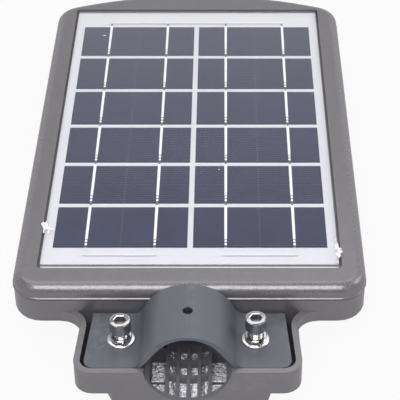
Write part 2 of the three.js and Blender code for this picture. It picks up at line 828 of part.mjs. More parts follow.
function clampCap() {
  const rearX = screwOffset + flangeReach;
  const rearCorner = new THREE.Vector2(rearX - flangeRearInset, capRearY);
  const flangePlan = roundedFront(rearX + neckFlare, capFrontY, flangeCornerRadius, [rearCorner]);
  const domeTopZ = domeZ + domeRadius;
  const spotRadius = washerDiameter / 2 + spotFaceGap;
  const atScrews = (radius, heights) =>
    joinAll(sides.map((side) => rodZ(side * screwOffset, clampY, radius, heights)));
  return profileAlongY(domeProfile(), capFrontY, capRearY)
    .add(prism(flangePlan, neckFloorZ, neckRimHeight))
    .subtract(atScrews(spotRadius, [neckRimHeight, domeTopZ]))
    .subtract(profileAlongY(archProfile(), capFrontY - 1, capRearY + 1))
    .subtract(rodZ(0, clampY, capHoleRadius, [archZ, domeTopZ + 1], 24))
    .subtract(atScrews(screwHoleRadius, [neckFloorZ - 1, neckRimHeight + 1]));
}

function clampScrew(side) {
  const x = side * screwOffset;
  const screwHeadZ = springWasherTopZ + (side < 0 ? leftShankShowing : rightShankShowing);
  const headTopZ = screwHeadZ + screwHeadHeight;
  const tipZ = screwHeadZ - screwLength;
  const shank = screwDiameter / 2;
  const head = screwHeadDiameter / 2;
  const turned = revolve(x, clampY, [
    [0, tipZ],
    [shank - screwTipChamfer, tipZ],
    [shank, tipZ + screwTipChamfer],
    [shank, screwHeadZ],
    [head, screwHeadZ],
    [head, headTopZ - screwHeadRounding],
    [head - screwHeadRounding, headTopZ],
    [0, headTopZ],
  ]);
  return turned.subtract(hexagonZ(x, clampY, screwSocketWidth, [headTopZ - screwSocketDepth, headTopZ + 1]));
}

function flatWasher(side) {
  const heights = [neckRimHeight, neckRimHeight + washerThickness];
  const whole = rodZ(side * screwOffset, clampY, washerDiameter / 2, heights);
  return whole.subtract(rodZ(side * screwOffset, clampY, screwHoleRadius, [heights[0] - 1, heights[1] + 1]));
}

// A split ring that rises once round, with slanted ends.
function springWasher(side) {
  const steps = 30;
  const inner = screwHoleRadius;
  const outer = springWasherDiameter / 2;
  const turn = 360 - springWasherSplit - springWasherSlant;
  const corners = [[inner, 0], [inner, 1], [outer, 1], [outer, 0]];
  const rings = Array.from({ length: steps + 1 }, (_, i) => corners.map(([radius, top]) => {
    const angle = THREE.MathUtils.degToRad(-60 + (turn * i) / steps + top * springWasherSlant);
    const z = springWasherZ + (springWasherRise * i) / steps + top * springWasherThickness;
    const x = side * screwOffset + radius * Math.cos(angle);
    return new THREE.Vector3(x, clampY + radius * Math.sin(angle), z);
  }));
  return skin(rings, corners.map(([radius, top]) => new THREE.Vector2(top, radius)));
}

function clampNut(side) {
  const whole = hexagonZ(side * screwOffset, clampY, nutWidth, [nutZ, nutTopZ]);
  return whole.subtract(rodZ(side * screwOffset, clampY, screwHoleRadius, [nutZ - 1, nutTopZ + 1], 24));
}

function ledPlaces() {
  const places = [];
  for (let row = 0; row < ledRows; row += 1) {
    for (let column = 0; column < ledColumns; column += 1) {
      places.push({
        x: (column - (ledColumns - 1) / 2) * ledPitchX,
        y: lightY + (row - (ledRows - 1) / 2) * ledPitchY,
      });
    }
  }
  return places;
}

// Clear plate with one shallow lens in front of each LED.
function lensPlate() {
  const steps = 2;
  const profile = Array.from({ length: steps + 1 }, (_, i) => {
    const turn = (Math.PI / 2) * (i / steps);
    return [ledLensRadius * Math.sin(turn), lensZ - ledLensHeight * Math.cos(turn)];
  });
  const bumps = ledPlaces().map(({ x, y }) => revolve(x, y, [...profile, [0, lensZ + lensThickness / 2]], 8));
  return prism(lensPlan(0), lensZ, lensTopZ).add(joinAll(bumps));
}

function lensSeal() {
  return prism(lensPlan(0), lensTopZ, lensRecess)
    .subtract(prism(lensPlan(-lensSealWidth), lensTopZ - 1, lensRecess + 1));
}

function ledBoard() {
  const plate = prism(lensPlan(-ledBoardMargin), boardZ, boardZ + boardThickness);
  const leds = ledPlaces().map(({ x, y }) =>
    centredBlock(x, y, ledSize, ledSize, [boardZ - ledHeight, boardZ + boardThickness / 2]));
  return plate.add(joinAll(leds));
}

// Thin dome that looks down out of its pan, held by a flange against the pan's roof.
function sensorDome() {
  const steps = 4;
  const flangeZ = sensorPanDepth - sensorDomeWall;
  const bowl = (radius, height) => Array.from({ length: steps + 1 }, (_, i) => {
    const turn = (Math.PI / 2) * (i / steps);
    return [radius * Math.sin(turn), flangeZ - height * Math.cos(turn)];
  });
  const outer = revolve(0, sensorY, [
    ...bowl(sensorDomeRadius, sensorDomeHeight),
    [sensorFlangeRadius, flangeZ],
    [sensorFlangeRadius, sensorPanDepth],
    [0, sensorPanDepth],
  ], 24);
  const inner = revolve(0, sensorY, [
    ...bowl(sensorDomeRadius - sensorDomeWall, sensorDomeHeight - sensorDomeWall),
    [sensorDomeRadius - sensorDomeWall, sensorPanDepth + 1],
    [0, sensorPanDepth + 1],
  ], 24);
  return outer.subtract(inner);
}

function sensorBoard() {
  const z = sensorPanDepth + panThickness;
  const plate = centredBlock(0, sensorY, sensorBoardSize, sensorBoardSize, [z, z + boardThickness]);
  return plate.add(rodZ(0, sensorY, sensorCanRadius, [z - sensorCanHeight, z + boardThickness / 2], 14));
}

function powerButton() {
  return revolve(0, buttonY, [
    [0, buttonRecess],
    [buttonRadius - 1, buttonRecess],
    [buttonRadius, buttonRecess + 1],
    [buttonRadius, buttonSeatZ],
    [buttonCollarRadius, buttonSeatZ],
    [buttonCollarRadius, buttonSeatZ + buttonCollarThickness],
    [0, buttonSeatZ + buttonCollarThickness],
  ], 24);
}

const switchBody = () =>
  centredBlock(0, buttonY, switchWidth, switchDepth, [switchZ, switchZ + switchHeight]);

const batteryY = (i) => innerY + (i - (batteryCells - 1) / 2) * batteryPitch;

// Cradle with one trough for each battery cell, and an end wall on each side.
function batteryHolder() {
  const length = batteryCells * batteryPitch;
  const spanX = [holderMiddleX - holderWidth / 2, holderMiddleX + holderWidth / 2];
  const innerX = [spanX[0] + holderEndWall, spanX[1] - holderEndWall];
  const spanY = [innerY - length / 2, innerY + length / 2];
  const endTopZ = holderZ + holderEndHeight;
  const cradle = block(spanX, spanY, [floorThickness, holderZ + holderHeight]);
  const walls = block(spanX, spanY, [floorThickness, endTopZ]);
  const between = block(innerX, spanY, [holderZ, endTopZ + 1]);
  const troughs = Array.from({ length: batteryCells }, (_, i) =>
    rodX(batteryY(i), batteryZ, batteryRadius + runningGap, innerX));
  return walls.subtract(between).add(cradle).subtract(joinAll(troughs));
}

function batteryCell(i) {
  const direction = i % 2 === 0 ? 1 : -1;
  const startX = holderMiddleX - (direction * (batteryLength + batteryCapHeight)) / 2;
  const ends = [startX, startX + direction * batteryLength].sort((a, b) => a - b);
  const tip = startX + direction * (batteryLength + batteryCapHeight);
  const cap = [tip - direction * (batteryCapHeight + 1), tip].sort((a, b) => a - b);
  const sleeve = rodX(batteryY(i), batteryZ, batteryRadius, ends);
  return sleeve.add(rodX(batteryY(i), batteryZ, batteryCapRadius, cap, 10));
}

// Board on four standoffs, with its terminal block, coil, capacitors and chip.
function controllerBoard() {
  const top = controllerZ + boardThickness;
  const low = controllerZ + boardThickness / 2;
  const x = controllerMiddleX;
  const capacitor = (y) =>
    rodZ(x + capacitorOffset, y, capacitorRadius, [low, top + capacitorHeight], 12);
  return joinAll([
    centredBlock(x, innerY, controllerWidth, controllerLength, [controllerZ, top]),
    centredBlock(x, terminalY + terminalDepth / 2, terminalWidth, terminalDepth, [low, terminalTopZ]),
    rodZ(x - coilOffset, innerY - componentSetback, coilRadius, [low, top + coilHeight], 14),
    capacitor(innerY - componentSetback - capacitorRadius),
    capacitor(innerY + capacitorRadius),
    centredBlock(x - coilOffset, innerY + componentSetback, chipWidth, chipDepth, [low, top + chipHeight]),
  ]);
}

const junctionBox = () => centredBlock(
  0, junctionBoxY, junctionBoxWidth, junctionBoxLength, [junctionBoxZ, panelFloorUnderZ],
);

// A lead along a smooth line through the given points.
function lead(points) {
  const path = new THREE.CatmullRomCurve3(points.map(([x, y, z]) => new THREE.Vector3(x, y, z)));
  const section = new THREE.Shape(circle(0, 0, leadRadius, 6));
  const steps = 3 * points.length;
  return toSolid(new THREE.ExtrudeGeometry(section, { extrudePath: path, steps, bevelEnabled: false }));
}

// The last points of a lead, where it bends down into the terminal block.
function leadEnd(x) {
  const endY = terminalY + terminalDepth + runningGap;
  const endZ = terminalTopZ - leadEntryDrop;
  return [[x, endY + leadStraight, endZ], [x, endY, endZ]];
}

function panelLead() {
  const startY = junctionBoxY - junctionBoxLength / 2 - runningGap;
  const z = junctionBoxZ + junctionBoxHeight / 2;
  const x = controllerMiddleX + leadPitch;
  return lead([
    [junctionLeadOffset, startY, z],
    [junctionLeadOffset, startY - leadStraight, z],
    [x, buttonY, z - leadArch],
    [x, terminalY + terminalDepth + leadRun, terminalTopZ],
    ...leadEnd(x),
  ]);
}

function lightLead() {
  const startY = lightY - lensLength / 2 + leadRun;
  const x = controllerMiddleX;
  const z = boardZ + boardThickness + runningGap;
  return lead([
    [x, startY, z],
    [x, startY, z + leadStraight],
    [x, startY - leadRun, z + leadArch],
    [x, terminalY + terminalDepth + leadRun, z + leadArch],
    ...leadEnd(x),
  ]);
}

function batteryLead() {
  const holderEdgeX = holderMiddleX + holderWidth / 2;
  const x = controllerMiddleX - leadPitch;
  const y = innerY + batteryPitch / 2;
  return lead([
    [holderEdgeX + runningGap, y, batteryZ],
    [holderEdgeX + leadStraight, y, batteryZ],
    [holderEdgeX + leadStraight + leadRadius, y + batteryPitch, batteryZ + leadArch],
    [x - leadPitch, terminalY + terminalDepth + leadRun, terminalTopZ],
    ...leadEnd(x),
  ]);
}

function housingScrew({ x, y }) {
  return revolve(x, y, [
    [0, housingScrewSeat - housingScrewHeadHeight],
    [housingScrewHeadRadius, housingScrewSeat - housingScrewHeadHeight],
    [housingScrewHeadRadius, housingScrewSeat],
    [housingScrewRadius, housingScrewSeat],
    [housingScrewRadius, housingScrewSeat + housingScrewLength],
    [0, housingScrewSeat + housingScrewLength],
  ], 10);
}

// The whole lamp, one named mesh for each piece
const lamp = new THREE.Group();

function place(name, solid, material) {
  const mesh = new THREE.Mesh(toGeometry(solid), materials[material]);
  mesh.name = name;
  lamp.add(mesh);
}

place("upper_housing", upperHousing(), "housing");
place("lower_housing", lowerHousing(), "housing");
place("housing_gasket", housingGasket(), "rubber");
place("panel_glass", prism(glassOutline(), glassZ, glassTopZ), "glass");
place("panel_backsheet", prism(glassOutline(), backsheetZ, cellZ), "backsheet");
for (let row = 0; row < cellRows; row += 1) {
  for (let column = 0; column < cellColumns; column += 1) {
    place(`solar_cell_${row * cellColumns + column + 1}`, solarCell(column, row), "cell");
  }
}
place("left_string_ribbons", stringRibbons(0), "ribbon");
place("right_string_ribbons", stringRibbons(cellColumns - 1), "ribbon");
place("far_cross_strip", farStrip(), "ribbon");
place("panel_junction_box", junctionBox(), "blackPlastic");
place("left_sealant", sealantBead(-1, leftSealantSetback, leftSealantLength), "sealant");
place("right_sealant", sealantBead(1, rightSealantSetback, rightSealantLength), "sealant");
place("lens_plate", lensPlate(), "lens");
place("lens_seal", lensSeal(), "rubber");
place("led_board", ledBoard(), "aluminium");
place("sensor_dome", sensorDome(), "milky");
place("sensor_board", sensorBoard(), "board");
place("power_button", powerButton(), "rubber");
place("switch_body", switchBody(), "blackPlastic");
place("battery_holder", batteryHolder(), "blackPlastic");
for (let i = 0; i < batteryCells; i += 1) place(`battery_cell_${i + 1}`, batteryCell(i), "battery");
place("controller_board", controllerBoard(), "board");
place("panel_lead", panelLead(), "lead");
place("light_lead", lightLead(), "lead");
place("battery_lead", batteryLead(), "lead");
postPlaces().forEach((spot, i) => place(`housing_screw_${i + 1}`, housingScrew(spot), "steel"));
place("clamp_cap", clampCap(), "cap");
for (const side of sides) {
  const hand = side < 0 ? "left" : "right";
  place(`clamp_screw_${hand}`, clampScrew(side), "steel");
  place(`flat_washer_${hand}`, flatWasher(side), "steel");
  place(`spring_washer_${hand}`, springWasher(side), "steel");
  place(`clamp_nut_${hand}`, clampNut(side), "steel");
}

export default lamp;
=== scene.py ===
# Solar street lamp head: the finished look of its pieces, on the solid parts of the frame.
# Metres, +Z up. The panel looks up, the light shines down, and the socket for the lamp
# arm opens towards -Y.
import json
import math

import bmesh
import bpy
from bpy.props import FloatProperty, FloatVectorProperty, PointerProperty
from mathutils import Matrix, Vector, noise

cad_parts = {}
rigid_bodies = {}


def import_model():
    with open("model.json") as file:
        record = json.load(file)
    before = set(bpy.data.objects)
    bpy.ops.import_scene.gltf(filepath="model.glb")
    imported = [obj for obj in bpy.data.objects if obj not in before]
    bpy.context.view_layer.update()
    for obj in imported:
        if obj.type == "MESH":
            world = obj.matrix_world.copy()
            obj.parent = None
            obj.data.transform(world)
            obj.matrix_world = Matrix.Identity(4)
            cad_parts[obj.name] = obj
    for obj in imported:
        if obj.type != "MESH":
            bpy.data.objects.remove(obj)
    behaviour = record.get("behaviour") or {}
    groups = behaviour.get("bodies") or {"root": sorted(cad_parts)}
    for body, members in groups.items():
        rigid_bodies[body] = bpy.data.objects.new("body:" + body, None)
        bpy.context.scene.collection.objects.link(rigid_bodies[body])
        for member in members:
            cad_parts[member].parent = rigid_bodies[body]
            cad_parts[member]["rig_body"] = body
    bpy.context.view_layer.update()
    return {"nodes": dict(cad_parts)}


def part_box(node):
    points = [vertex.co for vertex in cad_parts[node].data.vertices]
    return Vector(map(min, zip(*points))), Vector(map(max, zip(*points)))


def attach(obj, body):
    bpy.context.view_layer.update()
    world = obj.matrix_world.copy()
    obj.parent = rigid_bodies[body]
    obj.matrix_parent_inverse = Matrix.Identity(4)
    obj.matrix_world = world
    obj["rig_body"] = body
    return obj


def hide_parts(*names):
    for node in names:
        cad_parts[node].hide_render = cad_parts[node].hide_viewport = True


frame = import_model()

bl_info = {
    "name": "Solar street lamp head",
    "version": (1, 0, 0),
    "blender": (4, 5, 0),
    "location": "View3D > Sidebar > Street lamp",
    "description": "Dresses the solid parts of a solar street lamp head with finished pieces",
    "category": "Object",
}

MM = 0.001
TURN = 2 * math.pi

# Points of a solid that lie closer than this are one point, and faces that meet at less than this are flat
MERGE_DISTANCE = 0.002 * MM
FLAT_ANGLE = math.radians(0.6)

# Clamp hardware of size M8
HEAD_HEIGHT = 8 * MM
SHANK_RADIUS = 4 * MM
KEY_WIDTH = 6 * MM
NUT_WIDTH = 12.95 * MM
HOLE_RADIUS = 4.4 * MM

# Where a ribbon is darkened: its foot and two breaks, measured from its cell's near edge, and the stretch
# that begins at FAR_BREAK past the far edge. At the foot and that stretch, where it dips across the gap, the
# dark is painted shade
FOOT_END = 1.8 * MM
FIRST_BREAK = (3.9 * MM, 4.7 * MM)
SECOND_BREAK = (7.0 * MM, 7.6 * MM)
FAR_BREAK = 1.9 * MM
CELL_ROWS = 6

# The light sources below the lens plate
LIGHT_COLUMNS, LIGHT_ROWS = 9, 4
LIGHT_PITCH_X, LIGHT_PITCH_Y = 13 * MM, 20 * MM


def linear(red, green, blue):
    """Screen colour, 0 to 255, as the linear colour that a shader takes."""
    parts = []
    for value in (red, green, blue):
        part = value / 255
        parts.append(part / 12.92 if part <= 0.04045 else ((part + 0.055) / 1.055) ** 2.4)
    return tuple(parts)


# Values that a user would change


class HousingLook(bpy.types.PropertyGroup):
    """Colour and surface of the moulded housing"""

    colour: FloatVectorProperty(
        name="Housing colour", description="Grey of the moulded housing",
        default=linear(122, 119, 124), size=3, subtype="COLOR", min=0, max=1)
    cap_colour: FloatVectorProperty(
        name="Cap colour", description="Grey of the clamp cap, a darker moulding",
        default=linear(88, 91, 99), size=3, subtype="COLOR", min=0, max=1)
    edge_rounding: FloatProperty(
        name="Edge rounding", description="Radius on the moulded edges",
        default=0.6 * MM, min=0.1 * MM, max=1.5 * MM, unit="LENGTH", precision=5)
    grain_size: FloatProperty(
        name="Grain size", description="Width of one dimple of the moulded texture",
        default=0.6 * MM, min=0.1 * MM, max=3 * MM, unit="LENGTH", precision=5)
    grain_depth: FloatProperty(
        name="Grain depth", description="Depth of the moulded texture",
        default=0.06 * MM, min=0, max=0.5 * MM, unit="LENGTH", precision=6)


class PanelLook(bpy.types.PropertyGroup):
    """Solar cells, ribbons and the sheet behind them"""

    cell_colour: FloatVectorProperty(
        name="Cell colour", description="Blue grey of the silicon cells",
        default=linear(35, 39, 70), size=3, subtype="COLOR", min=0, max=1)
    finger_pitch: FloatProperty(
        name="Finger pitch", description="Distance between the printed silver fingers of a cell",
        default=1.9 * MM, min=0.5 * MM, max=6 * MM, unit="LENGTH", precision=5)
    finger_width: FloatProperty(
        name="Finger width", description="Width of one printed silver finger",
        default=0.14 * MM, min=0.02 * MM, max=1 * MM, unit="LENGTH", precision=5)
    backsheet_colour: FloatVectorProperty(
        name="Backsheet colour", description="White sheet behind the cells",
        default=linear(223, 223, 228), size=3, subtype="COLOR", min=0, max=1)
    ribbon_colour: FloatVectorProperty(
        name="Ribbon colour", description="Tinned copper ribbon that joins the cells",
        default=linear(252, 252, 253), size=3, subtype="COLOR", min=0, max=1)
    ribbon_width: FloatProperty(
        name="Ribbon width", description="Width of the tinned ribbon",
        default=1.75 * MM, min=0.5 * MM, max=4 * MM, unit="LENGTH", precision=5)
    ribbon_offset: FloatProperty(
        name="Ribbon offset", description="Distance of a ribbon from the middle of its cell",
        default=20 * MM, min=5 * MM, max=35 * MM, unit="LENGTH", precision=5)


class ClampLook(bpy.types.PropertyGroup):
    """Screws, washers and nuts of the pole clamp"""

    steel_colour: FloatVectorProperty(
        name="Steel colour", description="Bright plated steel of the clamp screws",
        default=linear(196, 195, 197), size=3, subtype="COLOR", min=0, max=1)
    thread_pitch: FloatProperty(
        name="Thread pitch", description="Distance between two turns of the screw thread",
        default=1.25 * MM, min=0.5 * MM, max=3 * MM, unit="LENGTH", precision=5)
    knurl_depth: FloatProperty(
        name="Knurl depth", description="Depth of the fine grooves round a screw head",
        default=0.12 * MM, min=0, max=0.5 * MM, unit="LENGTH", precision=6)


class StageLook(bpy.types.PropertyGroup):
    """Floor and light"""

    floor_colour: FloatVectorProperty(
        name="Floor colour", description="Plain pale floor",
        default=(0.5, 0.5, 0.5), size=3, subtype="COLOR", min=0, max=1)
    main_power: FloatProperty(
        name="Main power", description="Strength of the long soft box over the neck",
        default=9.3, min=0, max=200, unit="POWER")
    far_power: FloatProperty(
        name="Far power", description="Strength of the large soft box over the far half",
        default=3.3, min=0, max=200, unit="POWER")
    side_power: FloatProperty(
        name="Side power", description="Strength of the soft box on the right",
        default=3.3, min=0, max=200, unit="POWER")
    fill_power: FloatProperty(
        name="Fill power", description="Strength of each soft box before the arm socket",
        default=0.5, min=0, max=200, unit="POWER")
    behind_level: FloatProperty(
        name="Level behind", description="Strength of the even light low behind the nose",
        default=1.0, min=0, max=2)
    before_level: FloatProperty(
        name="Level before", description="Strength of the even light low before the arm socket",
        default=0.18, min=0, max=2)
    zenith_level: FloatProperty(
        name="Zenith level", description="Strength of the even light from above",
        default=0.13, min=0, max=2)


# Nodes of a material


def add(tree, kind, settings=None, inputs=None):
    """Adds a node. An input is a plain value or the socket that feeds it."""
    node = tree.nodes.new(kind)
    for name, value in (settings or {}).items():
        setattr(node, name, value)
    for name, value in (inputs or {}).items():
        socket = node.inputs[name]
        if isinstance(value, bpy.types.NodeSocket):
            tree.links.new(value, socket)
        else:
            socket.default_value = value
    return node


def feed(tree, node, sockets):
    """Links each socket to the input of that name."""
    for name, socket in sockets.items():
        tree.links.new(socket, node.inputs[name])


def calc(tree, operation, first, second=0.0):
    return add(tree, "ShaderNodeMath", {"operation": operation}, {0: first, 1: second}).outputs[0]


def plus(tree, first, second):
    return calc(tree, "ADD", first, second)


def times(tree, first, second):
    return calc(tree, "MULTIPLY", first, second)


def remap(tree, value, low, high, to_low=0.0, to_high=1.0):
    node = add(tree, "ShaderNodeMapRange", {"clamp": True},
               {"Value": value, "From Min": low, "From Max": high, "To Min": to_low, "To Max": to_high})
    return node.outputs[0]


def mix_colour(tree, factor, first, second):
    node = add(tree, "ShaderNodeMix", {"data_type": "RGBA"}, {0: factor, 6: first, 7: second})
    return node.outputs[2]


def scale_colour(tree, colour, level):
    node = add(tree, "ShaderNodeVectorMath", {"operation": "SCALE"}, {0: colour, "Scale": level})
    return node.outputs[0]


def cloud(tree, position, scale, **more):
    """Noise that changes with the position."""
    return add(tree, "ShaderNodeTexNoise", None, {"Vector": position, "Scale": scale, **more}).outputs[0]


def looks_up(tree):
    """How far a face looks up: 1 on a level upper face and 0 on an upright one."""
    normal = add(tree, "ShaderNodeNewGeometry").outputs["Normal"]
    return add(tree, "ShaderNodeSeparateXYZ", None, {0: normal}).outputs[2]


def rgba(colour):
    return (colour[0], colour[1], colour[2], 1)


# Node groups that several materials share


def start_group(name, inputs, outputs):
    """An empty shader node group with named sockets. Returns its tree, inputs and output node."""
    tree = bpy.data.node_groups.new(name, "ShaderNodeTree")
    for label, kind, default in inputs:
        socket = tree.interface.new_socket(label, in_out="INPUT", socket_type="NodeSocket" + kind)
        if default is not None:
            socket.default_value = default
    for label, kind in outputs:
        tree.interface.new_socket(label, in_out="OUTPUT", socket_type="NodeSocket" + kind)
    start = tree.nodes.new("NodeGroupInput")
    end = tree.nodes.new("NodeGroupOutput")
    return tree, start.outputs, end


def use_group(tree, name, inputs):
    return add(tree, "ShaderNodeGroup", {"node_tree": bpy.data.node_groups[name]}, inputs).outputs


def group_grain():
    """Fine dimples of a moulded or cast surface."""
    tree, given, end = start_group(
        "Moulded grain",
        [("Position", "Vector", None), ("Size", "Float", 0.5 * MM)],
        [("Height", "Float"), ("Fleck", "Float")])
    scale = calc(tree, "DIVIDE", 1.0, given["Size"])
    fine = cloud(tree, given["Position"], scale, Detail=2.0)
    dimples = add(tree, "ShaderNodeTexVoronoi", {"feature": "SMOOTH_F1"},
                  {"Vector": given["Position"], "Scale": times(tree, scale, 0.6), "Smoothness": 0.6})
    height = plus(tree, times(tree, fine, 0.6), times(tree, dimples.outputs["Distance"], 0.6))
    feed(tree, end, {"Height": height, "Fleck": remap(tree, fine, 0.35, 0.7)})


def group_drift():
    """Slow change of a colour over the surface."""
    tree, given, end = start_group(
        "Colour drift",
        [("Position", "Vector", None), ("Colour", "Color", (0.5, 0.5, 0.5, 1)),
         ("Patch size", "Float", 30 * MM), ("Amount", "Float", 0.05)],
        [("Colour", "Color")])
    scale = calc(tree, "DIVIDE", 1.0, given["Patch size"])
    patch = cloud(tree, given["Position"], scale, Detail=4.0, Roughness=0.55)
    swing = remap(tree, patch, 0.3, 0.7, -1.0, 1.0)
    level = plus(tree, 1.0, times(tree, swing, given["Amount"]))
    feed(tree, end, {"Colour": scale_colour(tree, given["Colour"], level)})


def group_wear_and_highlight():
    """Paler rub marks along the outer edges, which also paint highlights along the rounded rims."""
    tree, given, end = start_group(
        "Edge wear and rim highlight",
        [("Position", "Vector", None), ("Colour", "Color", (0.5, 0.5, 0.5, 1)),
         ("Worn and lit colour", "Color", (0.7, 0.7, 0.7, 1)), ("Amount", "Float", 0.4)],
        [("Colour", "Color")])
    edge = remap(tree, add(tree, "ShaderNodeNewGeometry").outputs["Pointiness"], 0.52, 0.62)
    patch = remap(tree, cloud(tree, given["Position"], 260.0, Detail=5.0), 0.42, 0.62)
    mask = times(tree, times(tree, edge, patch), given["Amount"])
    feed(tree, end, {"Colour": mix_colour(tree, mask, given["Colour"], given["Worn and lit colour"])})


def group_dust():
    """Pale dust that lies on faces that look up."""
    tree, given, end = start_group(
        "Settled dust",
        [("Position", "Vector", None), ("Colour", "Color", (0.5, 0.5, 0.5, 1)),
         ("Dust colour", "Color", (0.6, 0.59, 0.57, 1)), ("Amount", "Float", 0.2), ("Size", "Float", 4 * MM)],
        [("Colour", "Color"), ("Mask", "Float")])
    scale = calc(tree, "DIVIDE", 1.0, given["Size"])
    patch = cloud(tree, given["Position"], scale, Detail=6.0, Roughness=0.65)
    lying = times(tree, remap(tree, looks_up(tree), 0.2, 1.0), remap(tree, patch, 0.38, 0.75))
    mask = times(tree, lying, given["Amount"])
    feed(tree, end, {"Colour": mix_colour(tree, mask, given["Colour"], given["Dust colour"]), "Mask": mask})


def group_turning():
    """Where a surface turns over from a level face to an upright one."""
    tree, given, end = start_group("Turning surface", [("Base", "Float", 0.2)], [("Mask", "Float")])
    facing = looks_up(tree)
    turning = times(tree, remap(tree, facing, 0.05, 0.3), remap(tree, facing, 0.995, 0.95))
    feed(tree, end, {"Mask": calc(tree, "MAXIMUM", turning, given["Base"])})


def group_scratches():
    """Hair scratches in one direction, in patches."""
    tree, given, end = start_group(
        "Hair scratches",
        [("Position", "Vector", None), ("Spacing", "Float", 10 * MM), ("Turn", "Float", 0.4)],
        [("Mask", "Float")])
    rotated = add(tree, "ShaderNodeVectorRotate", {"rotation_type": "Z_AXIS"},
                  {"Vector": given["Position"], "Angle": given["Turn"]})
    drawn = add(tree, "ShaderNodeVectorMath", {"operation": "MULTIPLY"},
                {0: rotated.outputs[0], 1: (1, 0.06, 1)})
    lines = cloud(tree, drawn.outputs[0], calc(tree, "DIVIDE", 8.0, given["Spacing"]), Detail=3.0)
    gate = cloud(tree, given["Position"], calc(tree, "DIVIDE", 1.0, given["Spacing"]))
    feed(tree, end, {"Mask": times(tree, remap(tree, lines, 0.66, 0.72), remap(tree, gate, 0.5, 0.6))})


# Materials


def start_material(name, settings):
    """A material with its Principled BSDF, and the object position that its patterns follow."""
    material = bpy.data.materials.new(name)
    material.use_nodes = True
    tree = material.node_tree
    shader = tree.nodes["Principled BSDF"]
    for label, value in settings.items():
        shader.inputs[label].default_value = value
    position = add(tree, "ShaderNodeTexCoord").outputs["Object"]
    return material, tree, shader, position


def bump(tree, height, distance):
    return add(tree, "ShaderNodeBump", None, {"Height": height, "Distance": distance}).outputs[0]


def plastic(name, colour, roughness, grain=0.5 * MM, depth=0.04 * MM, drift=0.04, wear_and_highlight=0.35, dust=0.12,
            gloss=0.5, metallic=0.0, speckle=0.0, sparkle=0.12, flat=1.0):
    """Moulded surface with grain, slow colour drift, rubbed edges that also paint rim highlights, and a
    little dust.

    From dimple to dimple the colour changes by the share speckle and the roughness by sparkle. Level and
    upright faces keep the share flat of the dimples and of the sparkle.
    """
    material, tree, shader, position = start_material(
        name, {"Specular IOR Level": gloss, "Metallic": metallic})
    worn_and_lit = tuple(min(1, 1.5 * part + 0.04) for part in colour)
    base = use_group(tree, "Colour drift",
                     {"Position": position, "Colour": rgba(colour), "Patch size": 35 * MM, "Amount": drift})
    # Paler edges: partly rub marks, partly painted highlights on the rims
    edge = use_group(tree, "Edge wear and rim highlight", {"Position": position, "Colour": base["Colour"],
                                         "Worn and lit colour": rgba(worn_and_lit), "Amount": wear_and_highlight})
    lying = use_group(tree, "Settled dust", {"Position": position, "Colour": edge["Colour"], "Amount": dust})
    texture = use_group(tree, "Moulded grain", {"Position": position, "Size": grain})
    turning = use_group(tree, "Turning surface", {"Base": flat})["Mask"]
    fleck = times(tree, calc(tree, "SUBTRACT", texture["Fleck"], 0.5), sparkle)
    even = plus(tree, roughness, times(tree, fleck, turning))
    level = remap(tree, texture["Fleck"], 0.0, 1.0, 1.0 - speckle, 1.0 + speckle)
    feed(tree, shader, {
        "Base Color": scale_colour(tree, lying["Colour"], level),
        "Roughness": plus(tree, even, times(tree, lying["Mask"], 0.6)),
        "Normal": bump(tree, times(tree, texture["Height"], turning), depth),
    })
    return material


def metal(name, colour, roughness, grain=0.4 * MM, depth=0.01 * MM, drift=0.06, tarnish=0.0, metallic=1.0):
    """Plated or rolled metal with fine scratches and a faint tarnish."""
    material, tree, shader, position = start_material(name, {"Metallic": metallic})
    dark = tuple(part * 0.45 for part in colour)
    base = use_group(tree, "Colour drift",
                     {"Position": position, "Colour": rgba(colour), "Patch size": 6 * MM, "Amount": drift})
    mask = times(tree, remap(tree, cloud(tree, position, 420.0, Detail=4.0), 0.5, 0.7), tarnish)
    lines = use_group(tree, "Hair scratches", {"Position": position, "Spacing": 3 * MM})
    texture = use_group(tree, "Moulded grain", {"Position": position, "Size": grain})
    uneven = plus(tree, times(tree, lines["Mask"], 0.15), times(tree, texture["Fleck"], 0.08))
    feed(tree, shader, {
        "Base Color": mix_colour(tree, mask, base["Colour"], rgba(dark)),
        "Roughness": plus(tree, roughness, uneven),
        "Normal": bump(tree, texture["Height"], depth),
    })
    return material


def let_light_through(material, tree, shader, tint):
    """Lets the light of the lamps through a clear piece to what lies behind it."""
    clear = add(tree, "ShaderNodeBsdfTransparent", None, {"Color": tint})
    path = add(tree, "ShaderNodeLightPath")
    lighting = calc(tree, "MAXIMUM", path.outputs["Is Shadow Ray"], path.outputs["Is Diffuse Ray"])
    mixed = add(tree, "ShaderNodeMixShader", None, {0: lighting, 1: shader.outputs[0], 2: clear.outputs[0]})
    feed(tree, tree.nodes["Material Output"], {"Surface": mixed.outputs[0]})
    return material


def stripes(tree, along, pitch, width, start):
    """Mask of straight stripes across the direction of the given coordinate."""
    blur = 0.06 * MM
    phase = calc(tree, "PINGPONG", calc(tree, "SUBTRACT", along, start), pitch / 2)
    return remap(tree, phase, width / 2, width / 2 + blur, 1.0, 0.0)


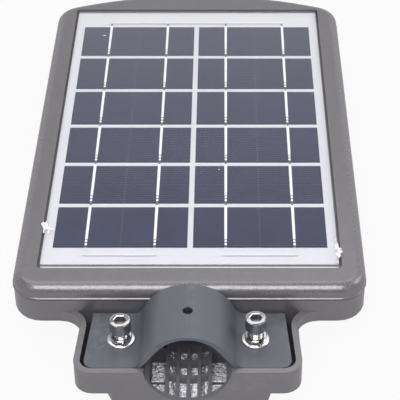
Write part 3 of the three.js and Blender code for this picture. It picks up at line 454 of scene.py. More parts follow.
def material_cell(look):
    """Silicon cell: blue grey crystals, printed silver fingers and a dotted line down its middle."""
    material, tree, shader, position = start_material(
        "silicon cell", {"Roughness": 0.45, "Specular IOR Level": 0.3})
    low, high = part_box("solar_cell_1")
    middle = abs(low.x + high.x) / 2
    axes = add(tree, "ShaderNodeSeparateXYZ", None, {0: position}).outputs
    base = use_group(tree, "Colour drift", {"Position": position, "Colour": rgba(look.cell_colour),
                                            "Patch size": 20 * MM, "Amount": 0.08})
    crystals = add(tree, "ShaderNodeTexVoronoi", None, {"Vector": position, "Scale": 190.0}).outputs["Color"]
    crystal = add(tree, "ShaderNodeSeparateColor", None, {0: crystals}).outputs[0]
    tinted = scale_colour(tree, base["Colour"], remap(tree, crystal, 0.0, 1.0, 0.9, 1.1))
    fingers = stripes(tree, axes[1], look.finger_pitch, look.finger_width, low.y)
    dots = stripes(tree, axes[1], look.finger_pitch * 1.5, look.finger_pitch * 0.6, low.y)
    aside = calc(tree, "ABSOLUTE", calc(tree, "SUBTRACT", calc(tree, "ABSOLUTE", axes[0]), middle))
    dotted = times(tree, remap(tree, aside, 0.2 * MM, 0.35 * MM, 1.0, 0.0), dots)
    silver = plus(tree, times(tree, fingers, 0.24), times(tree, dotted, 0.18))
    feed(tree, shader, {"Base Color": mix_colour(tree, silver, tinted, rgba(linear(200, 202, 212)))})
    return material


def material_glass():
    """Tempered glass with smears and hair scratches."""
    material, tree, shader, position = start_material(
        "panel glass", {"Transmission Weight": 1.0, "IOR": 1.5, "Base Color": (0.985, 0.985, 0.99, 1)})
    lines = use_group(tree, "Hair scratches", {"Position": position, "Spacing": 20 * MM})
    smear = remap(tree, cloud(tree, position, 45.0, Detail=5.0), 0.45, 0.8, 0.015, 0.07)
    feed(tree, shader, {"Roughness": plus(tree, smear, times(tree, lines["Mask"], 0.1))})
    return let_light_through(material, tree, shader, (0.99, 0.99, 1, 1))


def material_clear_plastic():
    """Moulded clear plastic of the lens plate, with faint flow lines."""
    material, tree, shader, position = start_material(
        "clear plastic", {"Transmission Weight": 1.0, "IOR": 1.49, "Base Color": (0.95, 0.97, 0.98, 1)})
    flow = cloud(tree, position, 90.0, Detail=3.0)
    texture = use_group(tree, "Moulded grain", {"Position": position, "Size": 0.8 * MM})
    rough = plus(tree, remap(tree, flow, 0.35, 0.7, 0.03, 0.1), times(tree, texture["Fleck"], 0.04))
    feed(tree, shader, {"Roughness": rough, "Normal": bump(tree, flow, 0.06 * MM)})
    return let_light_through(material, tree, shader, (0.9, 0.93, 0.95, 1))


def material_sealant():
    """Silicone sealant: white, glossy and a little cloudy."""
    material, tree, shader, position = start_material(
        "white sealant", {"Subsurface Weight": 0.25, "Subsurface Radius": (2 * MM, 2 * MM, 2 * MM),
                          "Subsurface Scale": 0.5})
    white = rgba(linear(240, 240, 238))
    base = use_group(tree, "Colour drift",
                     {"Position": position, "Colour": white, "Patch size": 2 * MM, "Amount": 0.05})
    folds = add(tree, "ShaderNodeTexNoise", {"noise_type": "RIDGED_MULTIFRACTAL"},
                {"Vector": position, "Scale": 700.0, "Detail": 3.0}).outputs[0]
    feed(tree, shader, {
        "Base Color": base["Colour"],
        "Roughness": remap(tree, folds, 0.0, 1.0, 0.22, 0.4),
        "Normal": bump(tree, folds, 0.15 * MM),
    })
    return material


def material_painted_floor_light():
    """Floors of the socket's pockets, painted pale as the light on them, with wavy ridges that face the
    mouth; the higher parts of the ridges are painted paler as sheen.
    """
    material, tree, shader, position = start_material("painted socket floor light", {"Metallic": 0.6})
    wave = add(tree, "ShaderNodeTexWave", {"bands_direction": "Y", "wave_profile": "SAW"},
               {"Vector": position, "Scale": 230.0, "Distortion": 3.0, "Detail": 2.0, "Detail Scale": 2.0})
    crinkle = cloud(tree, position, 600.0, Detail=5.0)
    height = plus(tree, wave.outputs["Fac"], times(tree, crinkle, 0.5))
    # Pale on the ridges and darker between them: painted light and sheen on the floors
    dark, pale = rgba(linear(120, 120, 126)), rgba(linear(208, 208, 212))
    feed(tree, shader, {
        "Base Color": mix_colour(tree, remap(tree, height, 0.4, 1.4), dark, pale),
        "Roughness": remap(tree, crinkle, 0.3, 0.7, 0.16, 0.34),
        "Normal": bump(tree, height, 1.1 * MM),
    })
    return material


def make_materials(scene):
    """All finishes by name. Most names are slots; the others are for one piece or for some of its faces."""
    for build in (group_grain, group_drift, group_wear_and_highlight, group_dust, group_turning, group_scratches):
        build()
    housing, panel, clamp = scene.lamp_housing, scene.lamp_panel, scene.lamp_clamp
    grain, depth = housing.grain_size, housing.grain_depth
    clean = {"wear_and_highlight": 0, "dust": 0}
    tin = {"grain": 0.5 * MM, "depth": 0.03 * MM, "metallic": 0.0}
    return {
        "housing_grey": plastic("housing grey", housing.colour, 0.34, grain, depth, drift=0.02, wear_and_highlight=0.2,
                                dust=0.05, gloss=1.0, metallic=0.5, sparkle=0.3, flat=0.15),
        # Matte copy of the housing grey for the walls, bore and webs under the cap, set for their shade:
        # painted shade
        "socket_grey": plastic("socket shade grey", linear(120, 120, 127), 0.6, grain, depth * 0.3, **clean),
        # Dark grey that paints the shade in the tray round the cap and on the walls of the cap's hole
        "tray_grey": plastic("painted tray shade", linear(44, 44, 47), 0.7, grain, depth, drift=0.05, **clean),
        "cap_grey": plastic("cap grey", housing.cap_colour, 0.4, grain, depth * 0.2, drift=0.01, dust=0,
                            speckle=0.01),
        "black_rubber": plastic("black rubber", linear(26, 26, 28), 0.7, 0.4 * MM, 0.03 * MM, drift=0.1,
                                wear_and_highlight=0.2, dust=0.15),
        "clear_glass": material_glass(),
        "white_backsheet": plastic("white backsheet", panel.backsheet_colour, 0.45, 0.6 * MM, 0.02 * MM,
                                   drift=0.01, **clean),
        # Opaque grey that paints the shade on the glass's side faces in the gap and on the side faces of the
        # tin strips
        "ground_edge": plastic("painted edge shade", linear(150, 152, 155), 0.4, 0.3 * MM, 0.02 * MM,
                               drift=0.1, **clean),
        "silicon_cell": material_cell(panel),
        "strip_tin": metal("white strip", linear(225, 225, 230), 0.5, drift=0.01, **tin),
        # Darker tin: painted shade where a ribbon dips across the gap between cells, and darker bands at its
        # two breaks
        "stained_tin": metal("dark tin and dip shade", linear(104, 106, 114), 0.5, drift=0.1, tarnish=0.3, **tin),
        "tinned_ribbon": metal("tinned ribbon", panel.ribbon_colour, 0.4, drift=0.03, tarnish=0.04, **tin),
        "black_plastic": plastic("black plastic", linear(34, 34, 36), 0.5),
        "white_sealant": material_sealant(),
        "clear_plastic": material_clear_plastic(),
        "socket_floor": material_painted_floor_light(),
        "led_phosphor": plastic("phosphor", linear(238, 205, 70), 0.35, 0.2 * MM, 0.01 * MM,
                                drift=0.06, **clean),
        "led_aluminium": plastic("white solder mask", linear(236, 237, 236), 0.3),
        "milky_plastic": plastic("milky plastic", linear(232, 234, 236), 0.35),
        "circuit_board": plastic("green solder mask", linear(28, 88, 52), 0.35),
        "battery_sleeve": plastic("battery sleeve", linear(46, 98, 170), 0.3),
        "lead_sleeve": plastic("lead sleeve", linear(150, 26, 26), 0.45),
        "zinc_steel": metal("zinc plated steel", linear(190, 188, 180), 0.3, tarnish=0.3),
        "bright_steel": metal("bright steel", clamp.steel_colour, 0.12, tarnish=0.12),
        "washer_steel": metal("washer steel", linear(238, 237, 239), 0.2, tarnish=0.1),
        # Darker steel that paints the shade inside the key socket of the clamp screws
        "socket_steel": metal("key socket shade steel", linear(150, 146, 146), 0.4, tarnish=0.4),
    }


# Pieces and their finishes

# The materials by name, filled by the first operator
finishes = {}


def dress(piece, slot, node, stands_for_node=True, finish=None):
    """Gives a piece its slot, its finish and the body of its node, and lets it stand for that node."""
    piece.data.materials.clear()
    piece.data.materials.append(finishes[finish or slot])
    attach(piece, frame["nodes"][node]["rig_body"])
    if stands_for_node:
        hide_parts(node)
    return piece


def add_finishes(piece, names, pick):
    """Adds finishes to a piece. pick names one of them for a face, or gives None to keep the piece's own."""
    for name in names:
        piece.data.materials.append(finishes[name])
    for face in piece.data.polygons:
        name = pick(face)
        if name:
            face.material_index = 1 + names.index(name)


def centre_of(node):
    low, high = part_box(node)
    return (low + high) / 2


def distance_aside(face, centre):
    """Distance of a face's middle from the vertical axis through the centre."""
    return math.hypot(face.center.x - centre.x, face.center.y - centre.y)


def link_mesh(name, mesh):
    for face in mesh.polygons:
        face.use_smooth = True
    piece = bpy.data.objects.new(name, mesh)
    bpy.context.scene.collection.objects.link(piece)
    return piece


def from_bmesh(name, work, sharp=32):
    """Object from a finished bmesh, smooth apart from edges sharper than that many degrees."""
    bmesh.ops.recalc_face_normals(work, faces=work.faces)
    mesh = bpy.data.meshes.new(name)
    work.to_mesh(mesh)
    work.free()
    piece = link_mesh(name, mesh)
    mesh.set_sharp_from_angle(angle=math.radians(sharp))
    return piece


def own_mesh(node, crease_angle=None):
    """The solid's mesh with double points merged, flat faces joined and, if asked, sharp edges creased."""
    mesh = frame["nodes"][node].data.copy()
    work = bmesh.new()
    work.from_mesh(mesh)
    bmesh.ops.remove_doubles(work, verts=work.verts, dist=MERGE_DISTANCE)
    bmesh.ops.dissolve_limit(work, angle_limit=FLAT_ANGLE, verts=work.verts, edges=work.edges)
    if crease_angle:
        crease = work.edges.layers.float.new("crease_edge")
        for edge in work.edges:
            if len(edge.link_faces) == 2 and edge.calc_face_angle() > crease_angle:
                edge[crease] = 0.85
    work.to_mesh(mesh)
    work.free()
    return mesh


def rounded_copy(node, width, slot, segments=2, name="moulded"):
    """The solid's own shape as a new mesh with rounded edges, its flat faces kept flat in the shading."""
    piece = link_mesh(f"{node}_{name}", own_mesh(node))
    edge = piece.modifiers.new("edge rounding", "BEVEL")
    edge.width = width
    edge.segments = segments
    edge.limit_method = "ANGLE"
    edge.angle_limit = math.radians(28)
    edge.use_clamp_overlap = True
    edge.harden_normals = True
    edge.miter_outer = "MITER_ARC"
    even = piece.modifiers.new("flat faces", "WEIGHTED_NORMAL")
    even.keep_sharp = True
    even.weight = 50
    return dress(piece, slot, node)


def soft_copy(node, slot):
    """The solid's own shape as a new mesh, softened by a subdivision surface."""
    piece = link_mesh(node + "_soft", own_mesh(node, crease_angle=math.radians(60)))
    soft = piece.modifiers.new("soft form", "SUBSURF")
    soft.levels = 1
    soft.render_levels = 1
    return dress(piece, slot, node)


# Rings of points, and the solids between them


def around(work, centre, radius, angle, height):
    """New point at a radius and an angle about a vertical axis."""
    return work.verts.new((centre.x + radius * math.cos(angle), centre.y + radius * math.sin(angle), height))


def ring_at(work, centre, height, radius, count):
    """Ring of points about a vertical axis. Height and radius are numbers or functions of the angle."""
    if radius == 0:
        return [around(work, centre, 0, 0, height)] * count
    ring = []
    for step in range(count):
        angle = TURN * step / count
        reach = radius(angle) if callable(radius) else radius
        z = height(angle) if callable(height) else height
        ring.append(around(work, centre, reach, angle, z))
    return ring


def loft(work, rings, joined=False):
    """Faces between rings of points. The two ends are closed, or joined to each other."""
    pairs = list(zip(rings, rings[1:]))
    if joined:
        pairs.append((rings[-1], rings[0]))
    for lower, upper in pairs:
        for step in range(len(lower)):
            after = (step + 1) % len(lower)
            corners = dict.fromkeys((lower[step], lower[after], upper[after], upper[step]))
            work.faces.new(tuple(corners))
    if joined:
        return
    for end in (rings[0], rings[-1]):
        if end[0] != end[1]:
            work.faces.new(end)


def turned(work, centre, outline, count, joined=False):
    """Turned solid from its outline of (height, radius) pairs."""
    loft(work, [ring_at(work, centre, height, radius, count) for height, radius in outline], joined)


def threaded_rod(work, centre, low, high, pitch, rows_per_turn, sides, reach_at):
    """Closed threaded rod. reach_at gives the radius from a height and the phase of the thread, 0 to 1."""
    rows = max(2, round((high - low) / pitch * rows_per_turn))
    outline = []
    for row in range(rows + 1):
        z = low + (high - low) * row / rows
        outline.append((z, lambda angle, z=z: reach_at(z, (z / pitch - angle / TURN) % 1)))
    turned(work, centre, outline, sides)


def strip_section(near, far, low, thick, edge):
    """Section of a flat strip with broken edges, as (across, height) points."""
    top = low + thick
    return [(near, low + edge), (near + edge, low), (far - edge, low), (far, low + edge),
            (far, top - edge), (far - edge, top), (near + edge, top), (near, top - edge)]


# Housings


def make_housings(look):
    """Both housings, with the tray painted dark as shade, the socket's walls in a grey set for their shade,
    the pocket floors painted pale as light, and the cord between them.
    """
    rounded_copy("upper_housing", look.edge_rounding, "housing_grey")
    lower = rounded_copy("lower_housing", look.edge_rounding * 0.85, "housing_grey")
    cap_low, cap_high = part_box("clamp_cap")
    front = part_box("lower_housing")[0].y
    tray = cap_low.z - 5 * MM
    socket_half_width = 33 * MM
    pocket_half_width = 22 * MM
    pocket_height = 9 * MM

    def neck_finish(face):
        middle = face.center
        level = face.normal.z > 0.5
        on_front = face.normal.y < -0.9 and middle.y < front + 0.5 * MM
        if on_front or middle.y > cap_high.y + 2 * MM:
            return None
        # The tray floor takes the dark grey that paints the shade in the gap round the cap
        if level and abs(middle.z - tray) < 0.4 * MM:
            return "tray_grey"
        under_cap = middle.y < cap_high.y - 1 * MM and 3 * MM < middle.z < cap_low.z
        if not under_cap or abs(middle.x) > socket_half_width:
            return None
        # Pocket floors take the pale finish that paints the light on them
        if level and abs(middle.x) < pocket_half_width and middle.z < pocket_height:
            return "socket_floor"
        # The other faces under the cap take the grey that paints their shade
        return "socket_grey"

    add_finishes(lower, ["socket_floor", "tray_grey", "socket_grey"], neck_finish)
    rounded_copy("housing_gasket", 0.2 * MM, "black_rubber", name="cord")


# Solar panel


def cross_strip(work, x_low, x_high, y_low, y_high, low, thick):
    """Thin ribbon along X that lies a little uneven."""
    count = 24
    section = strip_section(y_low, y_high, low, thick, 0.25 * thick)
    rings = []
    for step in range(count + 1):
        x = x_low + (x_high - x_low) * step / count
        lift = 0.02 * MM * noise.noise(Vector((x * 160, y_low * 90, 3)))
        rings.append([work.verts.new((x, y, z + lift)) for y, z in section])
    loft(work, rings)


def cell_ribbon(work, x, stations):
    """Thin ribbon along Y through stations of (y, half width, underside, thickness)."""
    rings = []
    for y, half, low, thick in stations:
        section = strip_section(-half, half, low, thick, min(0.25 * thick, 0.2 * half))
        rings.append([work.verts.new((x + across, y, z)) for across, z in section])
    loft(work, rings)


def solder_bump(work, x, y, z, across, along, height):
    """Low rounded pad of solder."""
    count = 12
    rings = []
    for share, lift in ((1.0, 0.0), (0.92, 0.55), (0.7, 0.85), (0.35, 1.0)):
        ring = []
        for step in range(count):
            angle = TURN * step / count
            ring.append(work.verts.new((x + across * share * math.cos(angle),
                                        y + along * share * math.sin(angle), z + height * lift)))
        rings.append(ring)
    loft(work, rings)


def ribbon_stations(near, far, begin, end, half, top, thick):
    """Stations of a ribbon over one cell, with its sunk ends and its two breaks."""
    sunk = top - 0.12 * MM
    return [
        (begin, half * 0.78, sunk, thick * 0.8),
        (near - 0.2 * MM, half * 0.6, sunk, thick * 0.8),
        (near + FOOT_END, half * 0.6, top, thick * 0.7),
        (near + FIRST_BREAK[0], half * 0.7, top, thick * 0.7),
        (near + FIRST_BREAK[1], half * 0.7, top, thick * 0.7),
        (near + SECOND_BREAK[0], half * 0.8, top, thick * 0.8),
        (near + SECOND_BREAK[1], half * 0.8, top, thick),
        (near + SECOND_BREAK[1] + 0.2 * MM, half * 0.87, top, thick),
        (far - 0.6 * MM, half, top, thick),
        (far + 0.1 * MM, half * 0.9, sunk, thick * 0.8),
        (far + FAR_BREAK, half * 0.9, sunk, thick * 0.8),
        (end, half * 0.6, sunk, thick * 0.8),
    ]


def make_string_ribbons(node, first_cell, look, crumb):
    """Two ribbons over a column of cells, the near strip that joins them and a crumb of solder."""
    low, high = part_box(node)
    cell_low, cell_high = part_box(first_cell)
    strip_low, strip_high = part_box("far_cross_strip")
    half = look.ribbon_width / 2
    top, thick = low.z, high.z - low.z
    middle = (cell_low.x + cell_high.x) / 2
    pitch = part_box("solar_cell_3")[0].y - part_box("solar_cell_1")[0].y
    depth = cell_high.y - cell_low.y
    gap = pitch - depth
    near_low = low.y
    near_high = near_low + strip_high.y - strip_low.y
    pad_length = 1.1 * MM
    work = bmesh.new()
    for offset in (-look.ribbon_offset, look.ribbon_offset):
        for row in range(CELL_ROWS):
            near = cell_low.y + row * pitch
            far = near + depth
            begin = near - gap / 2 if row else near_low + 0.2 * MM
            end = high.y if row == CELL_ROWS - 1 else far + gap / 2
            x = middle + offset + 0.12 * MM * noise.noise(Vector((offset * 50, row * 1.7, 5)))
            cell_ribbon(work, x, ribbon_stations(near, far, begin, end, half, top, thick))
            solder_bump(work, x, near + 2.8 * MM, top, half * 0.88, pad_length, thick * 0.98)
    cell, across, along, half_width = crumb
    crumb_low, crumb_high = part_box(cell)
    solder_bump(work, crumb_low.x + across * (crumb_high.x - crumb_low.x),
                crumb_low.y + along * (crumb_high.y - crumb_low.y), top, half_width, 0.4 * MM, thick * 0.9)
    reach = look.ribbon_offset + 1.5 * MM
    cross_strip(work, middle - reach, middle + reach, near_low, near_high, top - thick * 0.2, thick)
    for offset in (-look.ribbon_offset, look.ribbon_offset):
        solder_bump(work, middle + offset, (near_low + near_high) / 2, top + thick * 0.3,
                    half * 1.2, pad_length, thick * 0.65)

    def tin_finish(face):
        row = math.floor((face.center.y - cell_low.y) / pitch)
        along_cell = face.center.y - cell_low.y - row * pitch
        if face.center.y < cell_low.y:
            # The near strip's side faces take the grey that paints their shade
            return "strip_tin" if face.normal.z > 0.7 else "ground_edge"
        # Dark tin paints the shade where the ribbon dips across the gap to its foot, and darkens its two
        # breaks
        broken = (along_cell < FOOT_END or FIRST_BREAK[0] < along_cell < FIRST_BREAK[1]
                  or SECOND_BREAK[0] < along_cell < SECOND_BREAK[1] or along_cell > depth + FAR_BREAK)
        return "stained_tin" if broken and row < CELL_ROWS else None

    piece = dress(from_bmesh(node + "_tinned", work, 40), "tinned_ribbon", node)
    add_finishes(piece, ["strip_tin", "stained_tin", "ground_edge"], tin_finish)


def make_far_strip():
    """Strip across the far end that joins the two columns of cells."""
    node = "far_cross_strip"
    low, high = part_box(node)
    work = bmesh.new()
    cross_strip(work, low.x, high.x, low.y, high.y, low.z, high.z - low.z)
    piece = dress(from_bmesh(node + "_tinned", work, 40), "tinned_ribbon", node, finish="strip_tin")
    # Side faces of the strip take the grey that paints their shade as outlines
    add_finishes(piece, ["ground_edge"], lambda face: None if face.normal.z > 0.7 else "ground_edge")


def make_panel(look):
    """The laminate from its sheet to its glass, and the junction box under it."""
    glass = rounded_copy("panel_glass", 0.3 * MM, "clear_glass")
    # The glass's side faces take the grey that paints the shade in the gap beside the glass
    add_finishes(glass, ["ground_edge"], lambda face: "ground_edge" if abs(face.normal.z) < 0.5 else None)
    rounded_copy("panel_backsheet", 0.15 * MM, "white_backsheet")
    for number in range(1, 2 * CELL_ROWS + 1):
        rounded_copy(f"solar_cell_{number}", 0.08 * MM, "silicon_cell", 1)
    make_string_ribbons("left_string_ribbons", "solar_cell_1", look, ("solar_cell_11", 0.185, 0.7, 1.4 * MM))
    make_string_ribbons("right_string_ribbons", "solar_cell_2", look, ("solar_cell_4", 0.19, 0.9, 0.45 * MM))
    make_far_strip()
    rounded_copy("panel_junction_box", 1 * MM, "black_plastic", 3)


# Sealant

# Lumps of the two beads: the place in three shares of the solid, away from the glass, along it and up,
# and then the three half sizes in millimetres
LEFT_LUMPS = (
    (0.4, 0.18, 0.66, 0.75, 1.5, 1.1), (0.62, 0.42, 0.7, 0.8, 1.6, 1.2), (0.7, 0.72, 0.74, 0.85, 1.5, 1.15),
    (0.16, 0.55, 0.82, 1.1, 1.0, 0.75), (0.08, 0.32, 0.84, 0.8, 1.3, 0.6), (0.3, 0.84, 0.62, 0.7, 1.3, 1.1),
    (-0.1, 0.1, 0.86, 1.4, 1.0, 0.5), (-0.55, 0.05, 0.85, 1.5, 0.9, 0.4), (-0.95, 0.03, 0.84, 1.3, 0.8, 0.35),
    (-0.3, -0.3, 0.84, 0.8, 1.9, 0.4), (0.45, -0.15, 0.74, 0.7, 1.7, 0.9), (0.85, 0.6, 0.86, 0.7, 1.2, 0.8),
)
RIGHT_LUMPS = (
    (0.3, 0.09, 0.66, 0.75, 1.2, 1.1), (0.42, 0.22, 0.7, 0.85, 1.5, 1.2), (0.6, 0.33, 0.76, 0.95, 1.1, 0.9),
    (0.36, 0.42, 0.7, 0.8, 1.6, 1.15), (0.66, 0.52, 0.74, 0.8, 0.9, 0.85), (0.34, 0.6, 0.68, 0.75, 1.6, 1.1),
    (0.28, 0.76, 0.66, 0.65, 1.5, 1.05), (0.22, 0.9, 0.64, 0.55, 1.3, 0.95), (0.5, 0.12, 0.76, 0.7, 0.8, 0.7),
    (0.05, 0.2, 0.84, 0.8, 1.6, 0.5), (0.0, 0.62, 0.84, 0.6, 2.6, 0.4), (0.1, 1.15, 0.7, 0.4, 1.8, 0.8),
    (-0.1, 1.4, 0.78, 0.35, 1.5, 0.5), (0.85, 0.36, 0.84, 0.6, 0.9, 0.7),
)


def lump(work, centre, size, seed):
    """Rounded blob, pushed about by noise."""
    rough = 0.22
    made = bmesh.ops.create_icosphere(work, subdivisions=3, radius=1)["verts"]
    for vert in made:
        push = 1 + rough * noise.noise(vert.co * 1.9 + Vector((seed, 0, 0)))
        push += 0.5 * rough * noise.noise(vert.co * 4.7 + Vector((0, seed, 0)))
        vert.co = Vector([place + part * half * push for place, part, half in zip(centre, vert.co, size)])


def make_bead(node, side, lumps, seed):
    """A squeezed-out bead: overlapping lumps, remeshed into one skin."""
    low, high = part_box(node)
    inner = low.x if side > 0 else high.x
    reach = high - low
    work = bmesh.new()
    for number, (across, along, up, *half_sizes) in enumerate(lumps):
        centre = (inner + side * across * reach.x, low.y + along * reach.y, low.z + up * reach.z)
        lump(work, centre, [half * MM for half in half_sizes], seed + 3.7 * number)
    piece = from_bmesh(node + "_squeezed", work, 180)
    skin = piece.modifiers.new("one skin", "REMESH")
    skin.mode = "VOXEL"
    skin.voxel_size = 0.16 * MM
    skin.use_smooth_shade = True
    even = piece.modifiers.new("settled", "SMOOTH")
    even.factor = 0.5
    even.iterations = 3
    return dress(piece, "white_sealant", node)


def make_sealant():
    """The beads of sealant at the panel's near corners."""
    make_bead("left_sealant", -1, LEFT_LUMPS, 1.3)
    make_bead("right_sealant", 1, RIGHT_LUMPS, 8.1)


# Clamp


def make_cap(look):
    """The clamp cap, with the walls of its small round hole painted dark as shade."""
    cap = rounded_copy("clamp_cap", look.edge_rounding * 1.1, "cap_grey", 3)
    middle = centre_of("clamp_cap")

    def hole_finish(face):
        # The walls of the hole take the dark grey that paints the shade in it
        in_hole = distance_aside(face, middle) < 2.9 * MM and abs(face.normal.z) < 0.3
        return "tray_grey" if in_hole else None

    add_finishes(cap, ["tray_grey"], hole_finish)


def hexagon_radius(width):
    """Distance to the side of a hexagon of the given width across flats, at an angle."""
    return lambda angle: width / 2 / math.cos((angle % (TURN / 6)) - TURN / 12)


def make_clamp_screw(side, look):
    """Socket head cap screw with a knurled head and a full thread."""
    node = "clamp_screw_" + side
    low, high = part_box(node)
    centre = (low + high) / 2
    head = (high.x - low.x) / 2
    top = high.z
    seat = top - HEAD_HEIGHT
    key = hexagon_radius(KEY_WIDTH)
    work = bmesh.new()

    def thread_reach(z, phase):
        tooth = min(1.0, max(0.0, 2.4 * abs(phase - 0.5) - 0.1))
        return min(SHANK_RADIUS - 0.62 * MM * tooth, SHANK_RADIUS - 0.9 * MM + (z - low.z))

    def knurled(angle):
        return head - look.knurl_depth * (0.5 + 0.5 * math.cos(angle * 48))

    threaded_rod(work, centre, low.z, seat + 0.4 * MM, look.thread_pitch, 7, 32, thread_reach)
    turned(work, centre, [
        (seat, SHANK_RADIUS * 0.9),
        (seat, head - 0.7 * MM),
        (seat + 0.3 * MM, head - 0.15 * MM),
        (seat + 0.9 * MM, head - 0.03 * MM),
        (seat + 1.3 * MM, knurled),
        (top - 1.8 * MM, knurled),
        (top - 1.3 * MM, head - 0.03 * MM),
        (top - 0.7 * MM, head - 0.05 * MM),
        (top - 0.3 * MM, head - 0.3 * MM),
        (top - 0.06 * MM, head - 0.8 * MM),
        (top, head - 1.3 * MM),
        (top, lambda angle: key(angle) + 0.35 * MM),
        (top - 0.3 * MM, key),
        (top - 4.4 * MM, key),
        (top - 4.5 * MM, lambda angle: key(angle) * 0.9),
        (top - 5.6 * MM, 0.3 * MM),
    ], 96)

    def key_finish(face):
        # Faces in the key socket take the darker steel that paints its shade
        in_key = distance_aside(face, centre) < 3.4 * MM and seat < face.center.z < top - 0.2 * MM
        return "socket_steel" if in_key else None

    piece = dress(from_bmesh(node + "_turned", work, 30), "bright_steel", node)
    add_finishes(piece, ["socket_steel"], key_finish)


def make_flat_washer(side):
    """Punched washer with a rounded upper edge and a chamfered lower one."""
    node = "flat_washer_" + side
    low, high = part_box(node)
    outer = (high.x - low.x) / 2 - 0.06 * MM
    inner = HOLE_RADIUS
    edge = 0.3 * MM
    work = bmesh.new()
    turned(work, (low + high) / 2, [
        (low.z, inner + edge), (low.z, outer - edge), (low.z + edge * 0.3, outer - edge * 0.3),
        (low.z + edge, outer), (high.z - edge * 1.6, outer), (high.z - edge * 0.6, outer - edge * 0.5),
        (high.z, outer - edge * 1.6), (high.z, inner + edge), (high.z - edge, inner), (low.z + edge, inner),
    ], 64, joined=True)
    dress(from_bmesh(node + "_pressed", work, 40), "bright_steel", node, finish="washer_steel")


def make_spring_washer(side):
    """Split ring of square wire that rises once round."""
    node = "spring_washer_" + side
    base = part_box(node)[0].z + 0.01 * MM
    centre = centre_of("flat_washer_" + side)
    thick, rise = 2 * MM, 0.588 * MM
    section = strip_section(HOLE_RADIUS, 6.12 * MM, 0, thick, 0.22 * MM)
    steps = 56
    first_angle, whole_angle, end_slant = -60, 337, 9
    work = bmesh.new()
    rings = []
    for step in range(steps + 1):
        share = step / steps
        ring = []
        for radius, height in section:
            angle = math.radians(first_angle + whole_angle * share + end_slant * height / thick)
            ring.append(around(work, centre, radius, angle, base + rise * share + height))
        rings.append(ring)
    loft(work, rings)
    dress(from_bmesh(node + "_wound", work, 35), "bright_steel", node)


def make_nut(side, look):
    """Hexagon nut with chamfered corners and a threaded hole."""
    node = "clamp_nut_" + side
    low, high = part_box(node)
    hexagon = hexagon_radius(NUT_WIDTH)
    chamfer_radius = NUT_WIDTH / 2 * 1.04
    mouth_radius = HOLE_RADIUS + 0.3 * MM
    mouth_depth = 0.4 * MM
    thread_margin = 0.5 * MM
    rows = 24

    def chamfered(angle):
        return min(hexagon(angle), chamfer_radius)

    def corner_drop(angle):
        return 0.1 * MM + 0.5 * max(0.0, hexagon(angle) - chamfer_radius)

    def threaded(z):
        return lambda angle: (
            HOLE_RADIUS + 0.2 * MM * abs(2 * ((z / look.thread_pitch - angle / TURN) % 1) - 1))

    outline = [
        (low.z, chamfered),
        (lambda angle: low.z + corner_drop(angle), hexagon),
        (lambda angle: high.z - corner_drop(angle), hexagon),
        (high.z, chamfered),
        (high.z, mouth_radius),
        (high.z - mouth_depth, HOLE_RADIUS),
    ]
    for row in range(rows + 1):
        z = high.z - thread_margin - (high.z - low.z - 2 * thread_margin) * row / rows
        outline.append((z, threaded(z)))
    outline.append((low.z + mouth_depth, HOLE_RADIUS))
    outline.append((low.z, mouth_radius))
    work = bmesh.new()
    turned(work, (low + high) / 2, outline, 72, joined=True)
    dress(from_bmesh(node + "_tapped", work, 30), "bright_steel", node)


def make_hardware(look):
    """The screws, washers and nuts on both sides of the clamp."""
    for side in ("left", "right"):
        make_clamp_screw(side, look)
        make_flat_washer(side)
        make_spring_washer(side)
        make_nut(side, look)


# Light


def rounded_rectangle(low, high, radius, steps=6):
    """Corner-rounded rectangle as (x, y) points."""
    right, left = high.x - radius, low.x + radius
    far, near = high.y - radius, low.y + radius
    points = []
    for corner, (x, y) in enumerate(((right, far), (left, far), (left, near), (right, near))):
        for step in range(steps + 1):
            angle = TURN / 4 * (corner + step / steps)
            points.append((x + radius * math.cos(angle), y + radius * math.sin(angle)))
    return points


def plate(work, points, levels):
    """Closed plate from an outline and (height, inset) levels; the inset draws towards the middle."""
    middle_x = sum(x for x, y in points) / len(points)
    middle_y = sum(y for x, y in points) / len(points)
    reach_x = max(abs(x - middle_x) for x, y in points)
    reach_y = max(abs(y - middle_y) for x, y in points)
    rings = []
    for z, inset in levels:
        share_x, share_y = 1 - inset / reach_x, 1 - inset / reach_y
        rings.append([work.verts.new((middle_x + (x - middle_x) * share_x,
                                      middle_y + (y - middle_y) * share_y, z)) for x, y in points])
    loft(work, rings)


def light_grid():
    """Middles of the light sources."""
    middle = centre_of("led_board")
    spots = []
    for row in range(LIGHT_ROWS):
        for column in range(LIGHT_COLUMNS):
            across = (column - (LIGHT_COLUMNS - 1) / 2) * LIGHT_PITCH_X
            along = (row - (LIGHT_ROWS - 1) / 2) * LIGHT_PITCH_Y
            spots.append(Vector((middle.x + across, middle.y + along, 0)))
    return spots


def make_lens_plate():
    """Clear plate with a lens over every light source."""
    node = "lens_plate"
    low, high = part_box(node)
    base = high.z - 2 * MM
    root = base + 0.1 * MM
    lens_height = root - low.z - 0.02 * MM
    levels = 8
    work = bmesh.new()
    plate(work, rounded_rectangle(low, high, 5 * MM), [
        (base, 0.6 * MM), (base + 0.2 * MM, 0.2 * MM), (base + 0.6 * MM, 0),
        (high.z - 0.3 * MM, 0), (high.z, 0.3 * MM)])
    for spot in light_grid():
        outline = []
        for step in range(levels):
            angle = TURN / 4 * step / (levels - 1)
            outline.append((root - lens_height * math.sin(angle), max(4.6 * MM * math.cos(angle), 0.15 * MM)))
        turned(work, spot, outline, 28)
    dress(from_bmesh(node + "_moulded", work, 35), "clear_plastic", node)


def small_block(work, centre, width, depth, low, high, edge):
    """Small block with broken edges."""
    half = Vector((width / 2, depth / 2, 0))
    plate(work, rounded_rectangle(centre - half, centre + half, edge * 2, 2),
          [(low, edge), (low + edge, 0), (high - edge, 0), (high, edge)])


